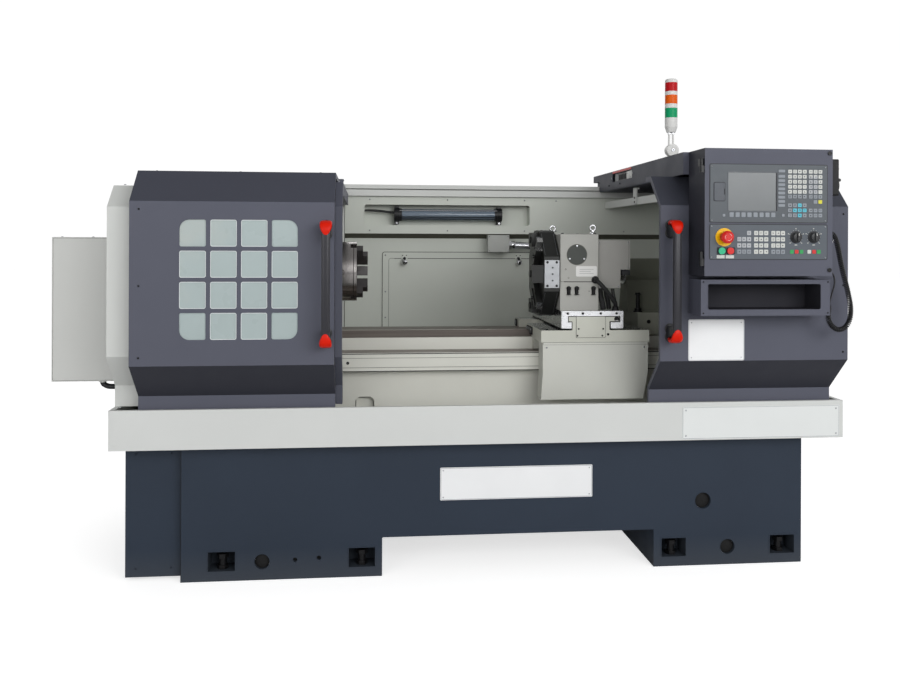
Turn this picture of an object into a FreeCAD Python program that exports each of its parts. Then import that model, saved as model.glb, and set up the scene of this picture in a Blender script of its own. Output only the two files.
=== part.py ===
import FreeCAD, Part
import os, math
from FreeCAD import Vector as V

# Flat-bed turning lathe with sliding hoods, a swing-out control pendant on the
# right hood, an indexing tool turret on the carriage and a tailstock.
# Working frame: X along the bed (0 = left end of the chip tray), Y to the back
# (0 = front face of the chip tray), Z up from the floor.  At export everything
# is shifted by (OX, OY) so that the origin is the centre of the footprint.

# ---------------------------------------------------------------- dimensions
OX, OY = -1061.5, -386.0          # shift to the row frame

PAN_L, PAN_Z0, PAN_Z1, PAN_D = 2374.0, 437.0, 561.0, 1030.0   # chip tray
SH = 3.0                          # sheet thickness of hoods and covers
BASE_X0, BASE_X1, BASE_Y0, BASE_Y1 = 204.0, 2264.0, 70.0, 900.0
LEG_L, LEG_R, ARCH_Z = 842.0, 1748.0, 125.0
AX_Y, AX_Z = 445.0, 976.0         # spindle centre line
BED_X0, BED_X1 = 90.0, 2150.0
BED_TOP = 758.0                   # flat way
WAY_PEAK = 772.0                  # prismatic way
HOOD_Y, HOOD_Z0, HOOD_Z1 = -96.0, 710.0, 1204.0   # main face of the hoods
HOOD_ROOF = 1302.0
LH_X0, LH_X1 = 84.5, 690.5        # left hood
RH_X0, RH_X1 = 1712.5, 2336.0     # right hood
COV_Y, COV_ROOF = -23.0, 1258.0   # fixed covers
CHUCK_R, CHUCK_X0, CHUCK_X1 = 107.5, 665.0, 753.0
SAD_X0, SAD_X1, SAD_Y0, SAD_Y1 = 1373.0, 1746.0, 120.0, 648.0
DISC_X0, DISC_X1, DISC_Y, DISC_Z, DISC_AF = 1388.0, 1443.0, 293.0, 977.0, 286.0
PEN_X0, PEN_X1, PEN_Y0, PEN_Z0, PEN_Z1 = 1804.0, 2210.0, -231.0, 985.0, 1373.0
TOWER_X, TOWER_Y, TOWER_HINGE_Z = 1832.0, 150.0, 1403.0

os.makedirs("parts", exist_ok=True)
BOX = [1e9, 1e9, 1e9, -1e9, -1e9, -1e9]
NAMES = []


# ------------------------------------------------------------------- helpers
def box(x0, y0, z0, x1, y1, z1):
    return Part.makeBox(x1 - x0, y1 - y0, z1 - z0, V(x0, y0, z0))


def cyl(axis, c, r, a0, a1):
    # cylinder along axis 'x','y' or 'z'; c = the two other coordinates
    if axis == 'x':
        return Part.makeCylinder(r, a1 - a0, V(a0, c[0], c[1]), V(1, 0, 0))
    if axis == 'y':
        return Part.makeCylinder(r, a1 - a0, V(c[0], a0, c[1]), V(0, 1, 0))
    return Part.makeCylinder(r, a1 - a0, V(c[0], c[1], a0), V(0, 0, 1))


def cone(axis, c, r0, r1, a0, a1):
    d = {'x': V(1, 0, 0), 'y': V(0, 1, 0), 'z': V(0, 0, 1)}[axis]
    p = {'x': V(a0, c[0], c[1]), 'y': V(c[0], a0, c[1]), 'z': V(c[0], c[1], a0)}[axis]
    return Part.makeCone(r0, r1, a1 - a0, p, d)


def ring(axis, c, ro, ri, a0, a1):
    return cyl(axis, c, ro, a0, a1).cut(cyl(axis, c, ri, a0 - 1, a1 + 1))


def prism_x(pts, x0, x1):
    # (y, z) polygon swept along X
    w = Part.makePolygon([V(x0, p[0], p[1]) for p in pts] + [V(x0, pts[0][0], pts[0][1])])
    return Part.Face(w).extrude(V(x1 - x0, 0, 0))


def prism_y(pts, y0, y1):
    w = Part.makePolygon([V(p[0], y0, p[1]) for p in pts] + [V(pts[0][0], y0, pts[0][1])])
    return Part.Face(w).extrude(V(0, y1 - y0, 0))


def prism_z(pts, z0, z1):
    w = Part.makePolygon([V(p[0], p[1], z0) for p in pts] + [V(pts[0][0], pts[0][1], z0)])
    return Part.Face(w).extrude(V(0, 0, z1 - z0))


def slab_y(x0, z0, x1, z1, r, y0, y1):
    # plate in XZ with rounded corners, swept along Y
    pts, arcs = [], []
    e = []
    c = [(x1 - r, z0 + r, -90), (x1 - r, z1 - r, 0), (x0 + r, z1 - r, 90), (x0 + r, z0 + r, 180)]
    prev = None
    first = None
    for cx, cz, a in c:
        p = [V(cx + r * math.cos(math.radians(a + k)), y0, cz + r * math.sin(math.radians(a + k))) for k in (0, 45, 90)]
        if prev is not None and (prev - p[0]).Length > 1e-6:
            e.append(Part.LineSegment(prev, p[0]).toShape())
        if first is None:
            first = p[0]
        e.append(Part.Arc(p[0], p[1], p[2]).toShape())
        prev = p[2]
    if (prev - first).Length > 1e-6:
        e.append(Part.LineSegment(prev, first).toShape())
    return Part.Face(Part.Wire(e)).extrude(V(0, y1 - y0, 0))


def slab_x(y0, z0, y1, z1, r, x0, x1):
    s = slab_y(y0, z0, y1, z1, r, 0, x1 - x0)
    s.rotate(V(0, 0, 0), V(0, 0, 1), 90)       # (x, y) -> (-y, x)
    s.translate(V(x1, 0, 0))
    return s


def slab_z(x0, y0, x1, y1, r, z0, z1):
    s = slab_y(x0, y0, x1, y1, r, 0, z1 - z0)
    s.rotate(V(0, 0, 0), V(1, 0, 0), -90)      # (y, z) -> (z, -y)
    s.translate(V(0, 0, z1))
    return s


def cut(a, *bs):
    for b in bs:
        a = a.cut(b)
    return a


def fuse(a, *bs):
    for b in bs:
        a = a.fuse(b)
    return a.removeSplitter()


def rot(s, c, axis, deg):
    s = s.copy()
    s.rotate(V(*c), V(*axis), deg)
    return s


def offset_poly(pts, t):
    # open polyline in (y, z) thickened by t to its left-hand side
    n = len(pts)
    off = []
    for i in range(n):
        ds = []
        if i > 0:
            d = (pts[i][0] - pts[i - 1][0], pts[i][1] - pts[i - 1][1]); ds.append(d)
        if i < n - 1:
            d = (pts[i + 1][0] - pts[i][0], pts[i + 1][1] - pts[i][1]); ds.append(d)
        ns = []
        for d in ds:
            l = math.hypot(*d); ns.append((-d[1] / l, d[0] / l))
        if len(ns) == 1:
            off.append((pts[i][0] + ns[0][0] * t, pts[i][1] + ns[0][1] * t))
        else:
            bx, bz = ns[0][0] + ns[1][0], ns[0][1] + ns[1][1]
            k = t / (bx * ns[0][0] + bz * ns[0][1])
            off.append((pts[i][0] + bx * k, pts[i][1] + bz * k))
    return list(pts) + off[::-1]


def export(name, *shapes):
    s = shapes[0] if len(shapes) == 1 else Part.makeCompound(list(shapes))
    s = s.copy()
    s.translate(V(OX, OY, 0))
    sol = s.Solids
    bad = [i for i, q in enumerate(sol) if not q.isValid() or q.Volume <= 0]
    s.exportStep("parts/%s.step" % name)
    b = s.BoundBox
    for i, v in enumerate((b.XMin, b.YMin, b.ZMin)):
        BOX[i] = min(BOX[i], v)
    for i, v in enumerate((b.XMax, b.YMax, b.ZMax)):
        BOX[3 + i] = max(BOX[3 + i], v)
    NAMES.append(name)
    print("%-24s solids %2d  vol %10.1f cm3 %s" % (name, len(sol), s.Volume / 1e3, "BAD %s" % bad if bad else ""))


# ====================================================================== base
# Cast stand: two legs joined by a deep beam, shallow arch between them, open below.
T = 14.0
base = box(BASE_X0, BASE_Y0, 0, BASE_X1, BASE_Y1, PAN_Z0)
arch = slab_y(LEG_L, -100, LEG_R, ARCH_Z, 4, BASE_Y0 - 5, BASE_Y1 + 5)
base = base.cut(arch)
base = base.cut(box(BASE_X0 + T, BASE_Y0 + T, -1, LEG_L - T, BASE_Y1 - T, PAN_Z0 - T))
base = base.cut(box(LEG_R + T, BASE_Y0 + T, -1, BASE_X1 - T, BASE_Y1 - T, PAN_Z0 - T))
base = base.cut(box(LEG_L + T, BASE_Y0 + T, ARCH_Z + T, LEG_R - T, BASE_Y1 - T, PAN_Z0 - T))
for leg in (LEG_L, LEG_R):
    base = base.cut(box(leg - T - 1, 250, 160, leg + T + 1, 720, 400))
base = base.cut(box(LEG_L + T + 24, BASE_Y0 + T + 24, 100, LEG_R - T - 24, BASE_Y1 - T - 24, 160))   # beam open below
# levelling pockets at the four corners of each leg: a niche with a bottom shelf
POCKETS = [(288.5, 374), (734, 819), (1775, 1859), (2153, 2239)]
feet_xy = []
for x0, x1 in POCKETS:
    for side in (0, 1):
        ya, yb = (BASE_Y0, BASE_Y0 + 78) if side == 0 else (BASE_Y1 - 78, BASE_Y1)
        blk = box(x0 - T, ya, 0, x1 + T, yb + (T if side == 0 else 0), 94 + T) if side == 0 else \
            box(x0 - T, ya - T, 0, x1 + T, yb, 94 + T)
        base = base.fuse(blk)
        base = base.cut(box(x0, ya - 1, 32, x1, yb, 94) if side == 0 else box(x0, ya, 32, x1, yb + 1, 94))
        cx, cy = (x0 + x1) / 2, (ya + yb) / 2 + (-6 if side == 0 else 6)
        base = base.cut(cyl('z', (cx, cy), 12.5, -1, 40))
        feet_xy.append((cx, cy))
# lifting-bar and drain holes in the front wall
for cx, cz, r in ((458.5, 58.5, 24), (563, 61.5, 7), (639, 65.5, 7), (1918, 217, 27), (2004, 60, 25)):
    base = base.cut(cyl('y', (cx, cz), r, BASE_Y0 - 2, BASE_Y0 + T + 2))
base = base.removeSplitter()
export("base_cabinet", base)

# left end panel: folded cover over the lubrication bay, set back from the front
pnl = box(27, 98, 12, 203.5, 872, PAN_Z0 - 0.5)
pnl = pnl.cut(box(27 + SH, 98 + SH, 8, 210, 872 - SH, PAN_Z0 - 0.5 - SH))
for k in range(6):
    pnl = pnl.cut(box(20, 330 + k * 44, 250, 40, 350 + k * 44, 370))
export("base_end_panel", pnl)

# levelling screws standing on round pads inside the pockets
feet = []
for cx, cy in feet_xy:
    s = cyl('z', (cx, cy), 12.0, 0.0, 66).fuse(Part.Face(Part.makePolygon(
        [V(cx + 18 * math.cos(math.radians(60 * k)), cy + 18 * math.sin(math.radians(60 * k)), 66) for k in range(7)])).extrude(V(0, 0, 14)))
    n = Part.Face(Part.makePolygon([V(cx + 18 * math.cos(math.radians(60 * k)), cy + 18 * math.sin(math.radians(60 * k)), 32.0) for k in range(7)])).extrude(V(0, 0, 12))
    n = n.cut(cyl('z', (cx, cy), 12.05, 20, 60))
    feet += [s, n]
export("levelling_feet", *feet)

# ================================================================= chip tray
pan = box(0, 0, PAN_Z0, PAN_L, PAN_D, PAN_Z1)
pan = pan.cut(box(4, 4, PAN_Z0 + 4, PAN_L - 4, PAN_D - 4, PAN_Z1 + 1))
rim = box(0, 0, PAN_Z1 - 3, PAN_L, PAN_D, PAN_Z1).cut(box(14, 14, PAN_Z1 - 9, PAN_L - 14, PAN_D - 14, PAN_Z1 + 9))
pan = fuse(pan, rim)
pan = pan.cut(cyl('z', (1300, 300), 26, PAN_Z0 - 9, PAN_Z0 + 9))   # coolant drain
export("chip_pan", pan)

# ======================================================================= bed
FLOOR = PAN_Z0 + 4.0
sec = [(195, 644), (195, 708), (285, 708), (285, 750), (300, 750), (330, WAY_PEAK), (360, 750), (372, BED_TOP),
       (410, BED_TOP), (410, 660), (480, 660), (480, BED_TOP), (605, BED_TOP), (605, 708), (630, 708), (630, 644)]
bed = prism_x(sec, BED_X0, BED_X1)
# open chip gap between the ways with cross webs
for k in range(6):
    x = 700 + k * 240
    if x + 200 < BED_X1 - 40:
        bed = bed.cut(box(x, 410, 600, x + 200, 480, 700))
riser = box(BED_X0 + 30, 240, FLOOR, BED_X1 - 30, 600, 644)
riser = riser.cut(box(BED_X0 + 60, 262, FLOOR - 1, BED_X1 - 60, 578, 622))
riser = riser.cut(slab_y(751.5, 400, 816, 553, 18, 230, 270))
for k in range(5):
    x = 700 + k * 240
    riser = riser.cut(box(x, 410, 600, x + 200, 480, 650))
bed = fuse(bed, riser)
# bosses at the back that carry the feed screw
for x0, x1 in ((640, 690), (2080, 2130)):
    bed = fuse(bed, box(x0, 604, 655, x1, 700, 740))
    bed = bed.cut(cyl('x', (665, 700), 22.0, x0 - 2, x1 + 2))
export("bed", bed)

# feed screw along the back of the bed, and its servo motor
export("z_screw", fuse(cyl('x', (665, 700), 16, 628, 2152), cyl('x', (665, 700), 21.95, 642, 690),
                       cyl('x', (665, 700), 21.95, 2080, 2128)))
zm = fuse(box(2175, 610, 645, 2305, 720, 755), box(2131, 630.4, 655, 2175, 710, 745))
zm = zm.cut(cyl('x', (665, 700), 24, 2120, 2160))
mm = fuse(cyl('x', (740, 722), 92, 40, 360), box(20, 655, 640, 40, 825, 815), box(360, 680, 662, 420, 800, 782),
          box(120, 690, FLOOR, 300, 790, 645))
mm = mm.cut(cyl('x', (740, 722), 21, 10, 60))
export("drive_motors", mm, zm)

# ================================================================= headstock
hs = box(20, 300, BED_TOP + 0.0, 640, 600, 1105)
hs = hs.cut(box(60, 330, BED_TOP + 30, 600, 570, 1080))
hs = hs.cut(prism_x([(285, 700), (285, 750), (300, 750), (330, WAY_PEAK), (360, 750), (372, BED_TOP), (372, 700)], 10, 700))
hs = fuse(hs, cyl('x', (AX_Y, AX_Z), 118, 6, 60), cyl('x', (AX_Y, AX_Z), 118, 600, 655))
hs = hs.cut(cyl('x', (AX_Y, AX_Z), 90, 606, 646)).cut(cyl('x', (AX_Y, AX_Z), 75, 8, 52))
hs = hs.cut(cyl('x', (AX_Y, AX_Z), 58, -10, 700))
export("headstock_housing", hs)
brg = [ring('x', (AX_Y, AX_Z), 90, 57.05, 606, 646), ring('x', (AX_Y, AX_Z), 75, 45.05, 8, 52)]
export("spindle_bearings", *brg)
sp = fuse(cyl('x', (AX_Y, AX_Z), 45, -186, 100), cyl('x', (AX_Y, AX_Z), 50, 100, 560),
          cyl('x', (AX_Y, AX_Z), 57, 560, 650), cyl('x', (AX_Y, AX_Z), 80, 656, CHUCK_X0))
sp = fuse(sp, cyl('x', (AX_Y, AX_Z), 57, 648, 660))
sp = sp.cut(cyl('x', (AX_Y, AX_Z), 26, -300, 800))
export("spindle", sp)
pl = fuse(cyl('x', (AX_Y, AX_Z), 92, -150, -70), cyl('x', (AX_Y, AX_Z), 100, -156, -150), cyl('x', (AX_Y, AX_Z), 100, -70, -64))
pl = pl.cut(cyl('x', (AX_Y, AX_Z), 45, -200, 0))
export("spindle_pulley", pl)
mp = fuse(cyl('x', (740, 722), 56, -150, -70), cyl('x', (740, 722), 62, -156, -150), cyl('x', (740, 722), 62, -70, -64),
          cyl('x', (740, 722), 20.9, -64, 56))
export("motor_pulley", mp)


def belt_loop(r1, c1, r2, c2, x0, x1, t):
    # open belt around two pulleys: outer tangent hull minus inner tangent hull
    def hull(a, b):
        dy, dz = c2[0] - c1[0], c2[1] - c1[1]
        L = math.hypot(dy, dz)
        ang = math.atan2(dz, dy)
        off = math.acos((a - b) / L)
        pts = []
        for s in (1, -1):
            th = ang + s * off
            pts.append(((c1[0] + a * math.cos(th), c1[1] + a * math.sin(th)),
                        (c2[0] + b * math.cos(th), c2[1] + b * math.sin(th))))
        q = [pts[0][0], pts[0][1], pts[1][1], pts[1][0]]
        m1 = (c1[0] - a * math.cos(ang), c1[1] - a * math.sin(ang))
        m2 = (c2[0] + b * math.cos(ang), c2[1] + b * math.sin(ang))
        v = lambda p: V(x0, p[0], p[1])
        w = Part.Wire([Part.LineSegment(v(q[0]), v(q[1])).toShape(), Part.Arc(v(q[1]), v(m2), v(q[2])).toShape(),
                       Part.LineSegment(v(q[2]), v(q[3])).toShape(), Part.Arc(v(q[3]), v(m1), v(q[0])).toShape()])
        return Part.Face(w).extrude(V(x1 - x0, 0, 0))
    return hull(r1 + t, r2 + t).cut(hull(r1, r2))


export("drive_belt", belt_loop(92.3, (AX_Y, AX_Z), 56.3, (740, 722), -145, -75, 6))

# chuck and its three jaws
ch = cyl('x', (AX_Y, AX_Z), CHUCK_R, CHUCK_X0, CHUCK_X1)
ch = ch.cut(cyl('x', (AX_Y, AX_Z), 26, 600, 800))
JAW_ANG = (120, 240, 0)        # two jaws towards the operator, above and below the axis, one to the rear


def jaw_slot(a, g=0.0):
    s = box(CHUCK_X1 - 22 - g, -13 - g, 29, CHUCK_X1 + 1, 13 + g, CHUCK_R + 5)
    s.rotate(V(0, 0, 0), V(1, 0, 0), a - 90)
    s.translate(V(0, AX_Y, AX_Z))
    return s


for a in JAW_ANG:
    ch = ch.cut(jaw_slot(a, 0.3))
for k in range(3):
    a = math.radians(60 + 120 * k)
    ch = ch.cut(cyl('x', (AX_Y + 72 * math.cos(a), AX_Z + 72 * math.sin(a)), 8, CHUCK_X1 - 14, CHUCK_X1 + 1))
export("chuck_body", ch)
for k, a in enumerate(JAW_ANG):
    j = box(CHUCK_X1 - 22, -13, 42, CHUCK_X1 + 0.4, 13, 98)
    j = fuse(j, box(CHUCK_X1 + 0.4, -17, 38, CHUCK_X1 + 22, 17, 98), box(CHUCK_X1 + 22, -17, 38, CHUCK_X1 + 39, 17, 74))
    for zz in (62, 86):
        j = j.cut(cyl('x', (0, zz), 7, CHUCK_X1 + (8 if zz > 75 else 24), CHUCK_X1 + 60))
    j.rotate(V(0, 0, 0), V(1, 0, 0), a - 90)
    j.translate(V(0, AX_Y, AX_Z))
    export("chuck_jaw_%d" % (k + 1), j)

# ============================================================ fixed covers
COV = [(850, COV_ROOF), (52, COV_ROOF), (COV_Y, 1189), (COV_Y, 730), (74, 628), (74, 561.5)]
hc = prism_x(offset_poly(COV, SH), 0, 706)
endw = prism_x(COV + [(850, 561.5)], 0, SH).cut(box(-5, 262, 627, 10, 848, 1084))
hc = fuse(hc, endw)
frame_poly = [(850, COV_ROOF + 18), (44, COV_ROOF + 18), (COV_Y - 12, 1194), (COV_Y - 12, 725), (62, 623), (62, 561.5)]
fr = prism_x(offset_poly(frame_poly, 44), 690, 712)
inner = prism_x(offset_poly(COV, SH + 0.2), 680, 706.2).fuse(prism_x(offset_poly(COV, -0.2), 680, 706.2))
fr = fr.cut(inner)
fr = sorted(fr.Solids, key=lambda q: -q.Volume)
frx = fr[0]
for q in fr[1:]:
    if q.Volume > 2e4:
        frx = Part.makeCompound([frx, q])
export("headstock_cover", hc, *[q for q in fr if q.Volume > 2e4])

# belt guard on the left end, open towards the headstock, with a cable elbow below
bg = box(-251, 250, 615, -0.5, 860, 1096).cut(box(-251 + SH, 250 + SH, 615 + SH, 10, 860 - SH, 1096 - SH))
bg = bg.cut(cyl('z', (-100, 300), 7, 600, 640)).cut(cyl('x', (AX_Y, AX_Z), 40, -260, -240))


def tube(pts, r, radii=None, name=None, frac=0.45):
    # straight runs joined by tangent arcs, swept with a round section
    P = [V(*p) for p in pts]
    n = len(P)
    edges, cur, out = [], P[0], []
    for i in range(1, n - 1):
        a, b = (P[i - 1] - P[i]), (P[i + 1] - P[i])
        la, lb = a.Length, b.Length
        a.normalize(); b.normalize()
        ang = math.pi - a.getAngle(b)
        s = frac * min(la, lb)
        R = s / math.tan(ang / 2)
        if radii and radii.get(i):
            R = radii[i]; s = R * math.tan(ang / 2)
        out.append(R)
        p0, p1 = P[i] + a * s, P[i] + b * s
        bis = (a + b); bis.normalize()
        mid = P[i] + bis * (R / math.cos(ang / 2) - R)
        if (p0 - cur).Length > 1e-4:
            edges.append(Part.LineSegment(cur, p0).toShape())
        edges.append(Part.Arc(p0, mid, p1).toShape())
        cur = p1
    edges.append(Part.LineSegment(cur, P[-1]).toShape())
    w = Part.Wire(edges)
    d = P[1] - P[0]; d.normalize()
    c = Part.Wire([Part.makeCircle(r, P[0], d)])
    s = w.makePipeShell([c], True, False)
    if name:
        L = w.Length
        print("tube %s length %.1f radii %s  vol/expected %.4f" % (name, L, ["%.0f" % q for q in out], s.Volume / (math.pi * r * r * L)))
    return s


elbow = tube([(-100, 300, 614.6), (-100, 300, 600), (-84, 300, 590), (-20, 300, 588)], 9, name="guard_elbow")
export("belt_guard", bg, elbow)

# rear guard: folded wall with a lamp recess
RG = [(1036, 1275), (960, 1275), (960, 1118), (1000, 1098), (1000, 444)]
rg = prism_x(offset_poly(RG, SH), 696.3, 2330)
rg = rg.cut(slab_y(778, 1154, 1485, 1240, 10, 950, 970))
rec = slab_y(775, 1151, 1488, 1243, 12, 960, 1022).cut(slab_y(778, 1154, 1485, 1240, 10, 950, 1019))
rg = fuse(rg, rec)
rg = rg.cut(slab_y(880, 664, 1514, 1014, 12, 980, 1020))
endp = prism_x([(1036, 1272), (963, 1272), (963, 1120), (1003, 1100), (1003, 562), (1036, 562)], 2327, 2330)
rg = fuse(rg, endp)
export("rear_guard", rg)
ap = slab_y(856, 640, 1538, 1038, 10, 993, 996.6).fuse(
    slab_y(856, 640, 1538, 1038, 10, 996.6, 999.7).cut(slab_y(859, 643, 1535, 1035, 8, 990, 1002)))
ap = ap.removeSplitter()
knobs = []
for x in (949, 1441):
    k = fuse(slab_y(x - 13, 1006, x + 13, 1030, 3, 990, 993), cyl('y', (x, 1012), 5, 976, 990),
             Part.makeSphere(11, V(x, 968, 996)), tube([(x, 979, 1012), (x, 970, 1010), (x, 968, 998)], 4.5))
    knobs.append(k)
export("access_panel", ap, *knobs)

# strip work lamp in the recess, junction box and conduit on the wall
LY, LZ = 984, 1199
lamp = [ring('x', (LY, LZ), 24, 21.5, 926, 1344), cyl('x', (LY, LZ), 13, 927, 1343)]
for x0, x1 in ((904, 925.8), (1344.2, 1366)):
    lamp.append(fuse(cyl('x', (LY, LZ), 28, x0, x1), box(x0 + 2, LY - 6, 1158, x1 - 2, 1018.8, LZ), box(x0 + 2, LY, LZ - 20, x1 - 2, 1018.8, 1234)))
lamp.append(tube([(903.8, LY, LZ + 8), (870, LY, LZ + 12), (820, LY, LZ + 17), (778.4, LY, LZ + 17)], 5, name="lamp_cable"))
jb = fuse(box(1299, 918, 1041, 1390, 959.5, 1113), box(1310, 959, 1045, 1380, 999.5, 1092))
cond = tube([(1390.2, 938, 1070), (1470, 938, 1068), (1560, 938, 1060), (1630, 946, 1055), (1652, 960, 1054), (1655, 998.4, 1053)], 15, name="conduit")
export("work_lamp", *(lamp + [jb, cond]))

# rails for the hoods
up = prism_x([(944, 1276), (1036, 1276), (1036, 1324), (946, 1324), (946, 1307), (952, 1307), (952, 1301), (944, 1301)], 60, 2350)
up = up.cut(box(50, 958, 1282, 2360, 1030, 1318))
lo = prism_x([(27, 536), (27, 540), (44, 540), (44, 441.2), (40, 441.2), (40, 536)], 30, 2344)
export("hood_rails", up, lo)

# fixed cover round the tailstock end of the bed
tc = prism_x(offset_poly(COV, SH), 1815, 2312)
tc = fuse(tc, prism_x(COV + [(850, 561.5)], 2309, 2312))
tc = fuse(tc, prism_x(offset_poly([(955, COV_ROOF), (849, COV_ROOF)], SH), 1815, 2312))
tc = fuse(tc, prism_x(offset_poly([(955, COV_ROOF)] + COV[1:], 28), 1815, 1832))
brk = fuse(box(1809, 484, 1232, 1815, 522, 1294), box(1809, 484, 1289, 1821.5, 522, 1294))
export("tailstock_end_cover", tc, brk)

# electrical cabinet behind the headstock with a hinged rear door
ec = box(30, 856, 565, 696, 1020, 1275.4).cut(box(33, 859, 568, 693, 1030, 1272.4))
CH_X, CH_Y = 24.0, 1030.0
for z in (650, 1160):
    ec = fuse(ec, box(CH_X - 1, 1012, z, 30.5, 1019.5, z + 30), cyl('z', (CH_X, CH_Y), 6, z, z + 30),
              box(CH_X - 3, 1016, z, CH_X + 3, 1026, z + 30), cyl('z', (CH_X, CH_Y), 3, z + 29, z + 62))
for k in range(4):
    for z in (620, 660, 700):
        ec = ec.cut(box(25, 890 + k * 30, z, 40, 908 + k * 30, z + 8))
export("electrical_cabinet", ec)
cd = box(31, 1020.6, 568, 695, 1040, 1272).cut(box(34, 1010, 571, 692, 1037, 1269))
cd = cd.cut(box(31, 1020, 640, 36, 1040, 720).common(box(0, 0, 0, 1, 1, 1)))
for z in (650, 1160):
    cd = fuse(cd, cyl('z', (CH_X, CH_Y), 6, z + 30.5, z + 62), box(CH_X, CH_Y - 3, z + 30.5, 32, CH_Y + 3, z + 62))
    cd = cd.cut(cyl('z', (CH_X, CH_Y), 3.06, z + 20, z + 70))
hd = fuse(box(650, 1039, 880, 668, 1040.9, 980))
export("cabinet_door", cd)

# ================================================================== carriage
VG = [(284.6, 700), (284.6, 750.3), (299.9, 750.3), (330, WAY_PEAK + 0.45), (360.2, 750.3), (372.2, BED_TOP + 0.3),
      (605.5, BED_TOP + 0.3), (605.5, 700)]
sd = box(SAD_X0, SAD_Y0, 748, SAD_X1, SAD_Y1, 788)
sd = sd.cut(prism_x(VG, SAD_X0 - 5, SAD_X1 + 5))
sd = sd.cut(box(SAD_X0 - 5, 605, 700, SAD_X1 + 5, 631, 758.3))
sd = fuse(sd, box(SAD_X0, 258, 711, SAD_X1, 284.6, 750), box(1500, 634, 668, 1620, 700, 788))
# waist behind the front wing on the headstock side
sd = sd.cut(slab_z(SAD_X0 - 60, 400, SAD_X0 + 70, 560, 30, 700, 800))
# dovetail-style stem the cross slide runs on
sd = fuse(sd, box(1477, SAD_Y0, 787, 1610, SAD_Y1, 816), box(1464, SAD_Y0, 815.5, 1643.5, SAD_Y1, 836),
          slab_y(1493, 764, 1592, 834, 3, 117.5, 120.5))
sd = sd.cut(box(1518, 150, 794, 1568, 634, 840))
sd = sd.cut(cyl('y', (1543, 812), 10.06, 128, 660))
sd = sd.cut(cyl('x', (665, 700), 16.06, 1490, 1630))
sd = fuse(sd, box(1500, 647, 760, 1586, 766, 786))
sd = sd.cut(cyl('y', (1543, 812), 10.06, 128, 700))
xm = fuse(box(1488, 766, 757, 1598, 900, 867), box(1500, 900, 770, 1586, 925, 854))
xm = xm.cut(cyl('y', (1543, 812), 10.06, 760, 800))
export("saddle", sd, xm)
export("x_screw", cyl('y', (1543, 812), 10, 130, 796))
apo = [(1373, 555), (1726, 555), (1742, 650), (1742, 747.6), (1379, 747.6), (1379, 640)]
api = [(1380, 561), (1720, 561), (1736, 651), (1736, 742), (1385, 742), (1385, 641)]
apn = prism_y(apo, 121, 194).cut(prism_y(api, 127, 200))
export("apron", apn)

cs = box(1441.5, 128, 794.6, 1654, 650, 853)
cs = cs.cut(box(1463.5, 120, 815.2, 1644, 660, 836.3)).cut(box(1476.6, 120, 790, 1610.4, 660, 816))
cs = fuse(cs, box(1521, 360, 799, 1565, 425, 838)).cut(cyl('y', (1543, 812), 10.06, 350, 440))
ep = slab_y(1441.5, 794.6, 1654, 853, 3, 116, 127.8)
ep = ep.cut(box(1463.5, 110, 815.0, 1644, 130, 836.5)).cut(box(1476, 110, 790, 1610.8, 130, 816))
for x in (1461, 1513, 1575, 1632):
    ep = ep.cut(cyl('y', (x, 845), 3.6, 112, 121))
export("cross_slide", cs, ep)

tb = slab_y(1444.5, 853, 1577, 949.4, 2, 154, 434).cut(cyl('x', (DISC_Y, DISC_Z), 40.08, 1440, 1502))
th = slab_y(1444.5, 950, 1577, 1114, 4, 154, 434)
th = th.cut(cyl('x', (DISC_Y, DISC_Z), 40.08, 1440, 1502)).cut(cyl('y', (1502, 1043), 34, 150, 160))
plug = cyl('y', (1502, 1043), 33.9, 155, 160)
eyes = []
for x, y in ((1468, 395), (1566, 190)):
    e = Part.makeTorus(9, 3.2, V(x, y, 1135), V(0, 1, 0)).fuse(cyl('z', (x, y), 4, 1114, 1126.5)).fuse(cyl('z', (x, y), 8, 1114, 1119))
    eyes.append(e.removeSplitter())
tcab = tube([(1566, 153.8, 957), (1566, 136, 957), (1584, 128, 938), (1612, 131, 904), (1634, 141, 879), (1636, 150, 866), (1636, 150, 853.1)], 7,
            name="turret_cable")
export("turret_body", tb, th, plug, *(eyes + [tcab]))
mc_o = [(1577.4, 928), (1658, 928), (1658, 992), (1692, 992), (1692, 1093), (1577.4, 1093)]
mc_i = [(1570, 931), (1655, 931), (1655, 995), (1689, 995), (1689, 1090), (1570, 1090)]
export("turret_motor_cover", prism_y(mc_o, 166, 396).cut(prism_y(mc_i, 169, 393)))

def octagon(af, x0, x1, cy, cz, n=8, ph=22.5):
    R = af / 2 / math.cos(math.pi / n)
    pts = [(cy + R * math.cos(math.radians(ph + 360.0 / n * k)), cz + R * math.sin(math.radians(ph + 360.0 / n * k))) for k in range(n)]
    return prism_x(pts, x0, x1)


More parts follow.
